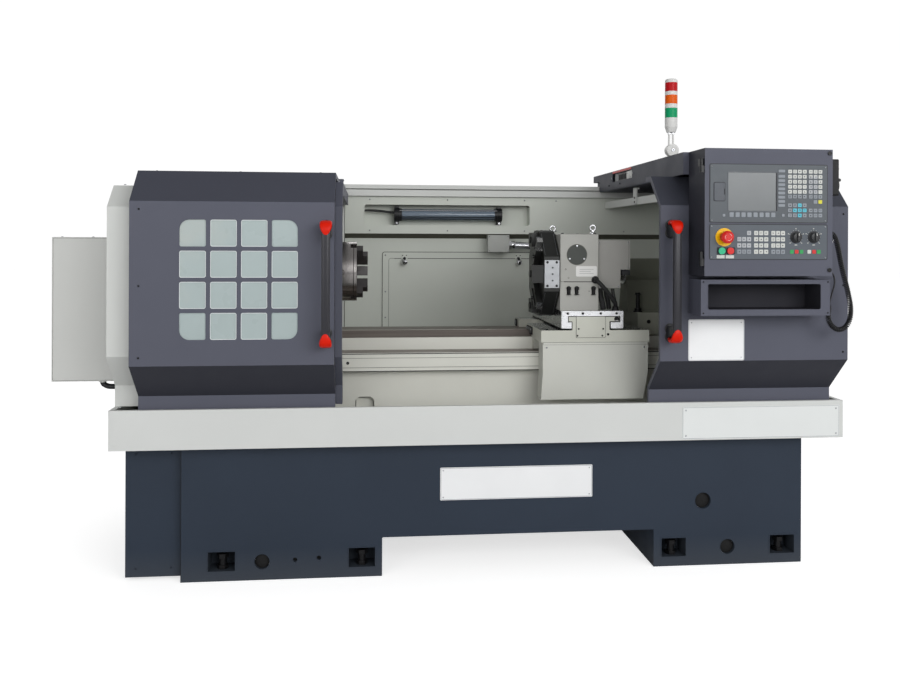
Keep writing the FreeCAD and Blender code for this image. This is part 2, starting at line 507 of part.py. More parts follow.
DX1 = 1440.0
disc = fuse(octagon(DISC_AF, DISC_X0, DX1, DISC_Y, DISC_Z), cyl('x', (DISC_Y, DISC_Z), 40, DX1 - 2, 1500))
disc = disc.cut(cyl('x', (DISC_Y, DISC_Z), 20, 1380, 1410))
export("turret_disc", disc)
tools = []
for k in range(8):
    if k in (3, 4, 5):              # the three rear stations are empty
        continue
    a = 45 * k                      # station angle from -Y, seen in the YZ plane
    t = []
    if k % 2 == 0:                  # boring-bar station: faced block with a bar towards the chuck
        xb = 1346 if k == 0 else 1366
        blk = box(xb, DISC_Y - 141, DISC_Z - 30, 1387.8, DISC_Y - 92, DISC_Z + 30)
        blk = blk.cut(cyl('x', (DISC_Y - 116, DISC_Z), 12.6, xb - 6, 1390))
        plate = box(1388.5, DISC_Y - 149, DISC_Z - 47, 1439.5, DISC_Y - 143.2, DISC_Z + 47)
        ps = [(1398, 40), (1430, 40), (1398, -40), (1430, -40), (1416, 0), (1416, 22), (1416, -22)]
        for hx, hz in ps:
            plate = plate.cut(cyl('y', (hx, DISC_Z + hz), 3.5, DISC_Y - 152, DISC_Y - 140))
        t = [blk, plate, cyl('x', (DISC_Y - 116, DISC_Z), 12.4, xb - 4, 1386)]
    else:                           # turning-tool station: square shank held by a wedge
        sh = box(1368, DISC_Y - 163, DISC_Z - 10, 1387.8, DISC_Y - 60, DISC_Z + 10)
        wd = box(1364, DISC_Y - 138, DISC_Z - 28, 1387.8, DISC_Y - 66, DISC_Z - 10.2)
        ws = cyl('x', (DISC_Y - 102, DISC_Z - 19), 6, 1358, 1364)
        t = [sh, wd.fuse(ws).removeSplitter()]
    for s in t:
        tools.append(rot(s, (0, DISC_Y, DISC_Z), (1, 0, 0), -a))
export("turret_tools", *tools)

# ================================================================= tailstock
ts = box(1760, 296, BED_TOP - 6, 2010, 600, 832)
ts = ts.cut(prism_x([(290, 700), (290, 750.3), (299.9, 750.3), (330, WAY_PEAK + 0.45), (360.2, 750.3), (372.2, BED_TOP + 0.3), (610, BED_TOP + 0.3), (610, 700)], 1750, 2020))
ts = fuse(ts, prism_x([(385, 830), (410, 960), (480, 960), (505, 830)], 1750, 2004), cyl('x', (AX_Y, AX_Z), 49, 1746, 2040))
ts = ts.cut(cyl('x', (AX_Y, AX_Z), 35.06, 1740, 2046))
stud = fuse(cyl('z', (1775, 345), 7, 832, 895), cyl('z', (1775, 345), 13, 832, 845))
ts2 = stud
export("tailstock_body", ts, ts2)
ql = cyl('x', (AX_Y, AX_Z), 35, 1730, 2030).cut(cyl('x', (AX_Y, AX_Z), 14, 1725, 1800)).cut(cyl('x', (AX_Y, AX_Z), 14.1, 1850, 2035))
ctr = fuse(cone('x', (AX_Y, AX_Z), 0.6, 13.9, 1697, 1722), cyl('x', (AX_Y, AX_Z), 13.9, 1722, 1798))
export("quill", ql, ctr)
hw = ring('x', (AX_Y, AX_Z), 90, 76, 2062, 2078)
hw = fuse(hw, cyl('x', (AX_Y, AX_Z), 22, 2046, 2084), cyl('x', (AX_Y, AX_Z), 14, 1900, 2050))
for k in range(3):
    hw = fuse(hw, rot(box(2064, AX_Y - 8, AX_Z + 18, 2076, AX_Y + 8, AX_Z + 80), (0, AX_Y, AX_Z), (1, 0, 0), 120 * k))
hw = fuse(hw, cyl('x', (AX_Y, AX_Z + 83), 9, 2076, 2136))
export("tailstock_handwheel", hw)

# ============================================================ sliding hoods
HP = [(936, HOOD_ROOF), (5, HOOD_ROOF), (HOOD_Y, HOOD_Z1), (HOOD_Y, HOOD_Z0), (20, 602), (20, 547)]
REAR = [(1038, 1345), (936, 1345)]


def hood_shell(x0, x1, rear):
    s = prism_x(offset_poly((REAR if rear else []) + HP, SH), x0, x1)
    fl = offset_poly(HP, 16)
    s = s.fuse(prism_x(fl, x0, x0 + SH)).fuse(prism_x(fl, x1 - SH, x1))
    return s.removeSplitter()


def shoes(x0, x1, rear):
    out = []
    for x in (x0 + 30, x1 - 90):
        out.append(box(x, 23.2, 540.5, x + 60, 42, 562))
        if rear:
            out.append(box(x, 955, 1324.5, x + 60, 1025, 1341.8))
    return out


WX0, WX1, WZ0, WZ1 = 230.0, 580.5, 788.0, 1149.5
lh = hood_shell(LH_X0, LH_X1, True)
grid = None
for i in range(4):
    for j in range(4):
        a, b = WX0 + i * 90.8, WZ0 + j * 93.5
        c = slab_y(a, b, a + 78, b + 81, 6, HOOD_Y - 2, HOOD_Y + SH + 2)
        grid = c if grid is None else grid.fuse(c)
grid = grid.common(slab_y(WX0, WZ0, WX0 + 3 * 90.8 + 78, WZ0 + 3 * 93.5 + 81, 30, HOOD_Y - 5, HOOD_Y + 9))
lh = lh.cut(grid)
export("left_hood", lh, *shoes(LH_X0, LH_X1, True))
export("left_window", slab_y(WX0 - 16, WZ0 - 16, WX1 + 16, WZ1 + 16, 20, HOOD_Y + SH, HOOD_Y + SH + 4))


def handle(xc, z0, z1):
    # upright bridge handle: oval bar, two raked feet, two end caps
    bar = slab_z(xc - 13.5, -170, xc + 13.5, -150, 9.9, z0 + 40, z1 - 40)
    parts = [bar]
    for s, ze in ((1, z1), (-1, z0)):
        foot = Part.Face(Part.makePolygon([V(xc - 13, -96, ze - s * 6), V(xc - 13, -96, ze - s * 50), V(xc - 13, -150, ze - s * 58),
                                           V(xc - 13, -150, ze - s * 30), V(xc - 13, -96, ze - s * 6)])).extrude(V(26, 0, 0))
        cap = Part.Face(Part.makePolygon([V(xc - 18, -172, ze - s * 39.9), V(xc - 18, -172, ze - s * 20), V(xc - 18, -150, ze),
                                          V(xc - 18, -118, ze), V(xc - 18, -150, ze - s * 29.7), V(xc - 18, -150.0, ze - s * 39.9),
                                          V(xc - 18, -172, ze - s * 39.9)])).extrude(V(36, 0, 0))
        cap = cap.cut(foot)
        parts += [foot, cap]
    return parts


export("left_handle", *handle(667, 766, 1149))

rh = hood_shell(RH_X0, RH_X1, False)
rh = rh.cut(box(RH_X0 - 5, 60, 1200, 1788, 1100, 1400))
export("right_hood", rh, *shoes(RH_X0, RH_X1, False))
export("right_handle", *handle(1744, 772, 1157))

# roof beam that carries the pendant and runs back to the rail, light-tower foot on top
bo = [(-96, 1302), (936, 1302), (936, 1345), (1038, 1345), (1038, PEN_Z1), (-96, PEN_Z1)]
bi = [(-93, 1290), (933, 1290), (933, 1348), (1035, 1348), (1035, PEN_Z1 - 3), (-93, PEN_Z1 - 3)]
bm = prism_x(bo, 1785, 2230).cut(prism_x(bi, 1788, 2227))
bm = bm.cut(box(1780, 460, 1330, 1789, 730, 1362))
tray = box(1789, 470, 1322, 1840, 720, 1325)
shoe = [box(x, 955, 1324.5, x + 60, 1025, 1344.9) for x in (1800, 2150)]
export("roof_beam", bm, *shoe)

HZ = TOWER_HINGE_Z
tbse = fuse(cyl('z', (TOWER_X, TOWER_Y), 22, PEN_Z1, HZ - 22), box(TOWER_X - 9, 136, HZ - 23, TOWER_X + 9, 149.7, HZ),
            cyl('y', (TOWER_X, HZ), 21.3, 136, 149.7), cyl('y', (TOWER_X, HZ), 6, 149, 164.5))
export("tower_base", tbse)
TY = 156.0
tcol = fuse(cyl('y', (TOWER_X, HZ), 21.3, 150, 162).cut(cyl('y', (TOWER_X, HZ), 6.05, 140, 170)))
for dx in (-7, 7):
    tcol = tcol.fuse(cyl('z', (TOWER_X + dx, TY), 3.6, HZ + 15, 1470))
tcol = tcol.fuse(cone('z', (TOWER_X, TY), 15.5, 21.5, 1466, 1484)).fuse(cyl('z', (TOWER_X, TY), 21.5, 1484, 1514.8)).removeSplitter()
lens = [cyl('z', (TOWER_X, TY), 21.5, a, b) for a, b in ((1515, 1549), (1563, 1594), (1606, 1637))]
whites = [cyl('z', (TOWER_X, TY), 21.5, 1549.2, 1562.8), cyl('z', (TOWER_X, TY), 21.5, 1594.2, 1605.8),
          cyl('z', (TOWER_X, TY), 21.5, 1637.2, 1645).fuse(cone('z', (TOWER_X, TY), 21.5, 17.5, 1645, 1649)).removeSplitter()]
export("signal_column", tcol, *(whites + lens))

# =================================================================== pendant
PH_Y = -215.6
ph = box(PEN_X0, PH_Y, PEN_Z0, PEN_X1, -96.0, PEN_Z1).cut(box(PEN_X0 + SH, PH_Y - 5, PEN_Z0 + SH, PEN_X1 - SH, -96.0 - SH, PEN_Z1 - SH))
HGX, HGY = 1797.0, -222.0
for z in (1016, 1299):
    ph = fuse(ph, cyl('z', (HGX, HGY), 6, z + 21.5, z + 43), box(HGX, -222, z + 21.5, 1803.7, -217, z + 43),
              box(1800, -222, z + 21.5, 1803.7, -185, z + 43), box(1800, -215.6, z + 21.5, PEN_X0 + 0.5, -185, z + 43), cyl('z', (HGX, HGY), 3, z, z + 22))
export("pendant_housing", ph)
pd = box(PEN_X0, -231, PEN_Z0, PEN_X1, -216, PEN_Z1).cut(box(PEN_X0 + SH, -228, PEN_Z0 + SH, PEN_X1 - SH, -210, PEN_Z1 - SH))
for z in (1016, 1299):
    pd = fuse(pd, cyl('z', (HGX, HGY), 6, z, z + 21), box(HGX, -228, z, PEN_X0 + 0.5, -223, z + 21))
    pd = pd.cut(cyl('z', (HGX, HGY), 3.05, z - 2, z + 22))
ES = (1864.5, 1103.0)
PB = ((1855.0, 1061.5), (1882.0, 1061.5))
OV = ((2091.6, 1104.3), (2148.2, 1104.6))
LK = ((2200.0, 1361.5), (2200.0, 1003.5))
cp = slab_y(1820.5, 1149, 2191, 1324, 4, -233, -231)
cp = cp.cut(slab_y(1877, 1183, 2028, 1300, 3, -240, -230))
scr = slab_y(1877.3, 1183.3, 2027.7, 1299.7, 3, -232.4, -231)
op = slab_y(1820.5, 1037, 2191, 1141, 4, -233, -231)
col = ring('y', ES, 27.5, 11.3, -235, -233).fuse(ring('y', ES, 15, 11.3, -241, -235)).removeSplitter()
for tool in [cyl('y', ES, 11.3, -250, -200)] + [cyl('y', b, 8.15, -250, -200) for b in PB] + [cyl('y', o, 3.1, -250, -200) for o in OV]:
    op = op.cut(tool)
    pd = pd.cut(tool)
for l in LK:
    pd = pd.cut(cyl('y', l, 4.1, -240, -200))
export("pendant_door", pd)
keys = []


def key(x, z, w=12.0, h=11.0):
    keys.append(slab_y(x - w / 2, z - h / 2, x + w / 2, z + h / 2, 2, -234.2, -233))


AX = (2072.0, 2087.7, 2103.2, 2118.7, 2138.0, 2153.4, 2168.8)
for x in (1887.2, 1906.1, 1924.7, 1943.6, 1962.6, 1981.6, 2000.4, 2018.8):      # soft keys under the screen
    key(x, 1171.6, 13, 14)
for z in (1305.5, 1289.3, 1276.2, 1263.9, 1251.1, 1238.5, 1225.6, 1212.9, 1200.6):   # keys beside the screen
    key(2045.5, z, 21, 8)
for z in (1304.3, 1288.8, 1273.3, 1257.9, 1242.6, 1227.8):                      # address and number keys
    for x in AX:
        key(x, z)
for x in AX[5:]:
    key(x, 1212.3)
for x in AX[:4]:                                                                # cursor and edit keys
    key(x, 1201.6)
for z in (1186.0, 1170.6):
    for x in AX:
        key(x, z)
key(1863.3, 1169.4, 8, 8)
key(2050.6, 1170.4, 8, 8)
for g, gx in enumerate(((1911.9, 1927.2, 1942.6), (1965.0, 1980.9, 1996.9), (2019.4, 2034.7, 2050.0))):   # machine keys
    for r, z in enumerate((1116.1, 1097.2, 1078.3, 1059.3)):
        for c, x in enumerate(gx):
            if g or r or c == 2:
                key(x, z, 12.5, 13)
for x in (2078.6, 2093.8, 2109.1, 2134.1, 2149.5, 2164.8):
    key(x, 1059.6, 11.5, 11.5)
export("control_panels", cp, scr, op, col, *keys)
es = fuse(cyl('y', ES, 11.2, -250, -222), cyl('y', ES, 19, -262, -250), cone('y', ES, 13, 19, -268, -262))
export("e_stop_head", es)
for nm, b in (("power_on_button", PB[0]), ("power_off_button", PB[1])):
    export(nm, fuse(cyl('y', b, 8.05, -239, -222), cyl('y', b, 10.5, -241.5, -239)))
for nm, o in (("feed_override_knob", OV[0]), ("spindle_override_knob", OV[1])):
    k = fuse(cyl('y', o, 15.5, -248, -233.4), cyl('y', o, 3.0, -234, -222), box(o[0] - 3, -254, o[1] - 14, o[0] + 3, -247, o[1] + 14))
    export(nm, k)
for nm, l in (("pendant_lock_upper", LK[0]), ("pendant_lock_lower", LK[1])):
    k = fuse(cyl('y', l, 6.5, -234, -231.3), cyl('y', l, 4.0, -232, -224), box(l[0] - 4, -227.5, l[1] - 9, l[0] + 4, -224, l[1] + 5))
    k = k.cut(box(l[0] - 4.5, -236, l[1] - 0.8, l[0] + 4.5, -233, l[1] + 0.8))
    export(nm, k)

# open pocket under the pendant
sp_ = box(1804, -203, 862, 2218, -96.0, 973).cut(slab_y(1826, 881, 2188, 960, 6, -210, -100))
export("shelf_pocket", sp_)

# hand pulse unit hooked to the side of the pendant, with its cord
mh = fuse(slab_x(-216, 1233, -134, 1346, 6, 2213, 2238), box(PEN_X1, -196, 1250, 2213.5, -154, 1330))
mh = mh.cut(cyl('x', (-175, 1266), 4.1, 2225, 2240))
gl1 = fuse(cyl('x', (-175, 1122), 9, 2210, 2216), cyl('x', (-175, 1122), 6.5, 2215, 2224))
gl2 = fuse(cyl('x', (-175, 1007), 7, 2210, 2215))
knob = fuse(cyl('x', (-186, 1318), 9, 2238, 2250))
hook = tube([(2210, -150, 1090), (2236, -150, 1090), (2250, -150, 1082), (2256, -150, 1098)], 2.5, name="hook")
export("mpg_unit", mh, knob, gl1, gl2, hook)
mw = fuse(cyl('x', (-175, 1266), 27, 2239.5, 2249), cyl('x', (-175, 1266), 4, 2226, 2240), cyl('x', (-175, 1284), 5, 2248, 2266))
export("mpg_wheel", mw)
CY = -175.0
COIL = [(2224, 1122), (2243, 1118), (2257, 1082), (2270, 1012), (2290, 942), (2305, 872), (2291, 823), (2257, 811), (2229, 836),
        (2226, 866), (2231, 895)]
TAIL = [(2231, 895), (2237, 922), (2249, 958), (2246, 985), (2232, 1002), (2215, 1007)]
coil = tube([(x, CY, z) for x, z in COIL], 8.5, name="cord_coil")
export("cord_coil", coil)
tail = tube([(x, CY, z) for x, z in TAIL], 2.5, name="cord_lead")
export("cord_lead", tail)

print("nodes", len(NAMES))
print("bbox", [round(v, 2) for v in BOX])
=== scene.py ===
import bpy, bmesh, math, random
from mathutils import Vector, Matrix


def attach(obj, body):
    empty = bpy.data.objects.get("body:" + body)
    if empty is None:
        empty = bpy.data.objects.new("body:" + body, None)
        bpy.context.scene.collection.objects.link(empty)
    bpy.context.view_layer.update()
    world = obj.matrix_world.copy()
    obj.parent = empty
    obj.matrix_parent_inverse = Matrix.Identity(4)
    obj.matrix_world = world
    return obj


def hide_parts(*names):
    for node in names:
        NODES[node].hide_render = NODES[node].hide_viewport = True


# Looks of the turning lathe: finishes, fasteners, plates, key legends, seals,
# the curly cord, floor, light and camera.  Sizes below are in millimetres in the
# working frame of the part (X along the bed, Y to the back, Z up).
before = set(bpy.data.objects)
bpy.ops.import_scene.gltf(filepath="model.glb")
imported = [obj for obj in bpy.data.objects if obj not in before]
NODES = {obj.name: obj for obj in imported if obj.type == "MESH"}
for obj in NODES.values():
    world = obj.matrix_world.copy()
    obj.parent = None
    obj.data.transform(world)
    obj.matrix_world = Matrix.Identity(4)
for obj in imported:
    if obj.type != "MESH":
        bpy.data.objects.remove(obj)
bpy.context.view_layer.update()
OX, OY = -1061.5, -386.0
random.seed(7)


def P(x, y, z):
    return Vector(((x + OX) / 1000.0, (y + OY) / 1000.0, z / 1000.0))


def lin(r, g, b):
    f = lambda c: c / 255 / 12.92 if c / 255 <= 0.04045 else ((c / 255 + 0.055) / 1.055) ** 2.4
    return (f(r), f(g), f(b), 1.0)


# ------------------------------------------------------------------ materials
def _node(nt, kind, **vals):
    n = nt.nodes.new(kind)
    for k, v in vals.items():
        if k in n.inputs:
            n.inputs[k].default_value = v
        else:
            setattr(n, k, v)
    return n


def material(name, col, rough=0.45, metal=0.0, var=0.05, vscale=2.5, bump=0.0, bscale=500.0, rvar=0.05,
             stretch=(1, 1, 1), alt=None, altscale=None, altrange=(0.45, 0.6), coat=0.0, trans=0.0, ior=1.45,
             emit=None, emit_s=0.0, alpha=1.0, spec=0.5, dirt=0.0, bdist=0.0006):
    m = bpy.data.materials.new(name)
    m.use_nodes = True
    nt = m.node_tree
    nt.nodes.clear()
    out = nt.nodes.new("ShaderNodeOutputMaterial")
    bs = nt.nodes.new("ShaderNodeBsdfPrincipled")
    nt.links.new(bs.outputs[0], out.inputs[0])
    bs.inputs["Metallic"].default_value = metal
    bs.inputs["Roughness"].default_value = rough
    bs.inputs["IOR"].default_value = ior
    bs.inputs["Specular IOR Level"].default_value = spec
    bs.inputs["Coat Weight"].default_value = coat
    bs.inputs["Coat Roughness"].default_value = 0.15
    bs.inputs["Transmission Weight"].default_value = trans
    bs.inputs["Alpha"].default_value = alpha
    if emit:
        bs.inputs["Emission Color"].default_value = emit
        bs.inputs["Emission Strength"].default_value = emit_s
    tc = nt.nodes.new("ShaderNodeTexCoord")
    mp = nt.nodes.new("ShaderNodeMapping")
    mp.inputs["Scale"].default_value = stretch
    nt.links.new(tc.outputs["Object"], mp.inputs["Vector"])
    n1 = _node(nt, "ShaderNodeTexNoise", Scale=vscale, Detail=5.0, Roughness=0.55)
    nt.links.new(mp.outputs[0], n1.inputs["Vector"])
    ramp = nt.nodes.new("ShaderNodeValToRGB")
    lo = tuple(max(0.0, c * (1 - var)) for c in col[:3]) + (1,)
    hi = tuple(min(1.0, c * (1 + var)) for c in col[:3]) + (1,)
    ramp.color_ramp.elements[0].position, ramp.color_ramp.elements[0].color = 0.3, lo
    ramp.color_ramp.elements[1].position, ramp.color_ramp.elements[1].color = 0.7, hi
    nt.links.new(n1.outputs["Fac"], ramp.inputs["Fac"])
    colour = ramp.outputs["Color"]
    if alt:
        n4 = _node(nt, "ShaderNodeTexNoise", Scale=altscale or vscale * 5, Detail=6.0, Roughness=0.65)
        nt.links.new(mp.outputs[0], n4.inputs["Vector"])
        r4 = _node(nt, "ShaderNodeMapRange")
        r4.inputs["From Min"].default_value, r4.inputs["From Max"].default_value = altrange
        nt.links.new(n4.outputs["Fac"], r4.inputs["Value"])
        mx = nt.nodes.new("ShaderNodeMix")
        mx.data_type = "RGBA"
        nt.links.new(r4.outputs["Result"], mx.inputs[0])
        nt.links.new(colour, mx.inputs[6])
        mx.inputs[7].default_value = alt
        colour = mx.outputs[2]
    if dirt:                                   # a little settled dust towards the floor
        sx = nt.nodes.new("ShaderNodeSeparateXYZ")
        nt.links.new(tc.outputs["Object"], sx.inputs[0])
        rz = _node(nt, "ShaderNodeMapRange")
        rz.inputs["From Min"].default_value, rz.inputs["From Max"].default_value = 0.10, 0.0
        rz.inputs["To Min"].default_value, rz.inputs["To Max"].default_value = 0.0, dirt
        nt.links.new(sx.outputs["Z"], rz.inputs["Value"])
        mz = nt.nodes.new("ShaderNodeMix")
        mz.data_type = "RGBA"
        nt.links.new(rz.outputs["Result"], mz.inputs[0])
        nt.links.new(colour, mz.inputs[6])
        mz.inputs[7].default_value = lin(120, 118, 112)
        colour = mz.outputs[2]
    nt.links.new(colour, bs.inputs["Base Color"])
    if rvar:
        n2 = _node(nt, "ShaderNodeTexNoise", Scale=vscale * 6, Detail=4.0)
        nt.links.new(mp.outputs[0], n2.inputs["Vector"])
        r2 = _node(nt, "ShaderNodeMapRange")
        r2.inputs["From Min"].default_value, r2.inputs["From Max"].default_value = 0.3, 0.7
        r2.inputs["To Min"].default_value, r2.inputs["To Max"].default_value = max(0.02, rough - rvar), min(1.0, rough + rvar)
        nt.links.new(n2.outputs["Fac"], r2.inputs["Value"])
        nt.links.new(r2.outputs["Result"], bs.inputs["Roughness"])
    if bump:
        n3 = _node(nt, "ShaderNodeTexNoise", Scale=bscale, Detail=2.0)
        nt.links.new(mp.outputs[0], n3.inputs["Vector"])
        bp = _node(nt, "ShaderNodeBump", Strength=bump, Distance=bdist)
        nt.links.new(n3.outputs["Fac"], bp.inputs["Height"])
        nt.links.new(bp.outputs[0], bs.inputs["Normal"])
    return m


M = {}
M["hood"] = material("hood_charcoal", lin(84, 86, 98), rough=0.5, var=0.05, vscale=1.6, bump=0.25, bscale=900, spec=0.25)
# darker copy of the hood charcoal for recesses and the inside of the hood: painted shade
M["hood_shaded_in"] = material("hood_charcoal_painted_shade_inside", lin(46, 46, 52), rough=0.65, var=0.06, vscale=2.0, spec=0.2)
M["base"] = material("base_casting", lin(44, 53, 66), rough=0.5, var=0.07, vscale=2.2, bump=0.35, bscale=260, dirt=0.12, spec=0.25)
M["base_in"] = material("base_casting_inside", lin(50, 56, 64), rough=0.75, var=0.12, vscale=4, bump=0.5, bscale=120, spec=0.2)
M["cover"] = material("cover_light_grey", lin(206, 208, 205), rough=0.45, var=0.03, vscale=1.8, bump=0.15, bscale=900, spec=0.35)
M["pan"] = material("pan_light_grey", lin(206, 208, 206), rough=0.4, var=0.03, vscale=1.7, bump=0.12, bscale=900, dirt=0.0, spec=0.35)
M["guard"] = material("guard_grey_green", lin(206, 210, 202), rough=0.5, var=0.04, vscale=1.5, bump=0.15, bscale=800, spec=0.35)
M["cream"] = material("bed_enamel", lin(207, 207, 199), rough=0.45, var=0.05, vscale=3.0, bump=0.3, bscale=160, spec=0.35)
M["cast_light"] = material("casting_light_grey", lin(192, 193, 183), rough=0.5, var=0.06, vscale=5, bump=0.45, bscale=220, spec=0.35)
M["way"] = material("ground_way", lin(124, 116, 110), rough=0.42, metal=0.5, var=0.2, vscale=14, stretch=(0.12, 9, 9), rvar=0.08, bump=0.25, bscale=60, bdist=0.0003)
M["steel"] = material("turned_steel", lin(190, 190, 190), rough=0.24, metal=1.0, var=0.10, vscale=18, stretch=(20, 1, 1), rvar=0.06,
                      bump=0.2, bscale=60, bdist=0.0002)
M["chuck"] = material("chuck_steel", lin(172, 168, 166), rough=0.22, metal=1.0, var=0.12, vscale=12, stretch=(6, 1, 1), rvar=0.05)
M["chuck_face"] = material("chuck_face_steel", lin(96, 92, 90), rough=0.3, metal=1.0, var=0.15, vscale=18, rvar=0.06)
M["jaw"] = material("jaw_steel", lin(92, 90, 90), rough=0.34, metal=1.0, var=0.14, vscale=20, rvar=0.07)
M["silver_dull"] = material("machined_steel_dull", lin(152, 154, 157), rough=0.38, metal=0.8, var=0.06, vscale=9, stretch=(1, 1, 6), rvar=0.06)
M["silver"] = material("machined_aluminium", lin(222, 223, 226), rough=0.3, metal=0.85, var=0.05, vscale=9, stretch=(1, 1, 6), rvar=0.06,
                       bump=0.12, bscale=200)
M["zinc"] = material("zinc_screw", lin(176, 178, 182), rough=0.32, metal=1.0, var=0.08, vscale=40)
# black screws; also used as painted shade on the front of the tailstock body
M["black_screw"] = material("black_screw", lin(24, 24, 26), rough=0.38, metal=0.4, var=0.12, vscale=40)
M["oxide"] = material("black_oxide_steel", lin(36, 37, 36), rough=0.4, metal=0.35, var=0.18, vscale=10, alt=lin(56, 56, 53), altscale=30, altrange=(0.6, 0.8))
M["motor"] = material("motor_black", lin(30, 31, 32), rough=0.55, var=0.1, vscale=8, bump=0.4, bscale=200)
M["motor_cap"] = material("motor_red_cap", lin(60, 20, 18), rough=0.45, var=0.1, vscale=8)
M["rubber"] = material("black_rubber", lin(22, 22, 23), rough=0.72, var=0.12, vscale=20, bump=0.2, bscale=700)
M["cord"] = material("cord_black", lin(18, 18, 20), rough=0.38, var=0.1, vscale=60, bump=0.1, bscale=900)
M["plastic"] = material("black_plastic", lin(25, 26, 29), rough=0.42, var=0.08, vscale=20, bump=0.2, bscale=1500)
M["bar"] = material("handle_bar", lin(40, 40, 46), rough=0.36, metal=0.15, var=0.07, vscale=12, bump=0.12, bscale=900)
M["cap"] = material("handle_cap_orange", lin(208, 26, 0), rough=0.4, var=0.04, vscale=14, bump=0.08, bscale=900, spec=0.2)
M["panel"] = material("panel_film", lin(88, 93, 98), rough=0.45, var=0.03, vscale=8, spec=0.3)
M["panel2"] = material("operator_film", lin(88, 94, 101), rough=0.45, var=0.03, vscale=8, spec=0.3)
M["key"] = material("key_grey", lin(170, 173, 177), rough=0.5, var=0.05, vscale=30, spec=0.3)
M["key2"] = material("key_pale", lin(197, 199, 195), rough=0.5, var=0.04, vscale=30, spec=0.3)
M["key_yellow"] = material("key_yellow", lin(206, 200, 60), rough=0.5, var=0.04, vscale=30)
M["key_cyan"] = material("key_cyan", lin(84, 178, 196), rough=0.5, var=0.05, vscale=30)
M["key_red"] = material("key_red", lin(196, 38, 34), rough=0.45, var=0.05, vscale=30)
M["key_green"] = material("key_green", lin(38, 150, 78), rough=0.45, var=0.05, vscale=30)
M["key_dark"] = material("key_dark", lin(64, 66, 74), rough=0.5, var=0.05, vscale=30)
M["key_dim"] = material("key_dim", lin(132, 138, 145), rough=0.5, var=0.05, vscale=30)
M["mark"] = material("legend_dark", lin(40, 42, 48), rough=0.55, var=0.03, vscale=30)
M["mark_w"] = material("legend_white", lin(232, 232, 230), rough=0.55, var=0.02, vscale=30)
M["screen"] = material("screen_glass", lin(110, 114, 116), rough=0.22, var=0.06, vscale=5, rvar=0.02, coat=0.2, spec=0.3)
M["red"] = material("red_gloss", lin(206, 28, 24), rough=0.3, var=0.04, vscale=30, coat=0.3, spec=0.35)
M["green"] = material("green_gloss", lin(40, 176, 128), rough=0.3, var=0.04, vscale=30, coat=0.3, spec=0.35)
M["yellow"] = material("yellow_gloss", lin(236, 184, 8), rough=0.34, var=0.03, vscale=30, coat=0.2, spec=0.35)
M["amber"] = material("amber_lens", lin(222, 92, 0), rough=0.35, var=0.04, vscale=30, spec=0.2)
M["lens_red"] = material("red_lens", lin(182, 6, 18), rough=0.35, var=0.04, vscale=30, spec=0.2)
M["lens_green"] = material("green_lens", lin(0, 152, 98), rough=0.35, var=0.04, vscale=30, spec=0.2)
M["white"] = material("white_plastic", lin(214, 214, 212), rough=0.45, var=0.03, vscale=20, spec=0.35)
M["plate"] = material("plate_white", lin(236, 237, 238), rough=0.34, var=0.02, vscale=6)
M["plate_pale"] = material("plate_pale", lin(222, 225, 224), rough=0.36, var=0.015, vscale=5)
M["plate_edge"] = material("plate_edge", lin(150, 153, 158), rough=0.4, var=0.03, vscale=20)
M["plate_silver"] = material("plate_silver", lin(214, 217, 219), rough=0.3, metal=0.35, var=0.03, vscale=8, stretch=(0.4, 8, 8), rvar=0.05)
M["charcoal"] = material("stripe_charcoal", lin(38, 38, 42), rough=0.42, var=0.03, vscale=8)
M["label_red"] = material("label_red", lin(206, 44, 38), rough=0.42, var=0.03, vscale=8)
M["gasket"] = material("grey_gasket", lin(120, 124, 118), rough=0.7, var=0.08, vscale=30)
M["dark_gap"] = material("shadow_gap", lin(14, 14, 15), rough=0.8, var=0.1, vscale=30)
M["brass"] = material("brass_fitting", lin(196, 160, 84), rough=0.3, metal=1.0, var=0.08, vscale=30)
M["gold"] = material("coated_insert", lin(206, 164, 66), rough=0.3, metal=0.9, var=0.06, vscale=60)
M["chrome"] = material("chrome_conduit", lin(216, 217, 220), rough=0.18, metal=1.0, var=0.05, vscale=20, rvar=0.04)
M["lamp"] = material("lamp_tube_glass", lin(150, 166, 182), rough=0.1, var=0.03, vscale=20, rvar=0.02, trans=0.6, ior=1.45)
M["lamp_core"] = material("lamp_core", lin(176, 188, 196), rough=0.35, var=0.04, vscale=20, emit=lin(200, 215, 230), emit_s=0.08)
M["junction"] = material("junction_box_dark", lin(168, 170, 166), rough=0.5, var=0.08, vscale=14, bump=0.2, bscale=500)
M["pane"] = material("window_pane", lin(170, 183, 183), rough=0.3, var=0.05, vscale=1.6, rvar=0.04, coat=0.15, alt=lin(188, 188, 180), altscale=1.1, altrange=(0.5, 0.75), alpha=0.94, spec=0.3)

M["turret"] = material("turret_enamel", lin(160, 160, 155), rough=0.48, var=0.05, vscale=5, bump=0.35, bscale=220)
M["tail"] = material("tailstock_casting", lin(122, 124, 112), rough=0.55, var=0.08, vscale=5, bump=0.4, bscale=220, spec=0.25)
# slightly darker copy of the cover grey for the belt guard: painted shade
M["cover2"] = material("cover_grey_painted_shade", lin(202, 203, 200), rough=0.48, var=0.03, vscale=1.8, bump=0.15, bscale=900, spec=0.3)
M["apron"] = material("apron_enamel", lin(196, 197, 190), rough=0.45, var=0.04, vscale=3.0, bump=0.3, bscale=160, spec=0.3)
M["turret2"] = material("motor_cover_enamel", lin(146, 145, 141), rough=0.5, var=0.05, vscale=5, bump=0.3, bscale=220, spec=0.3)
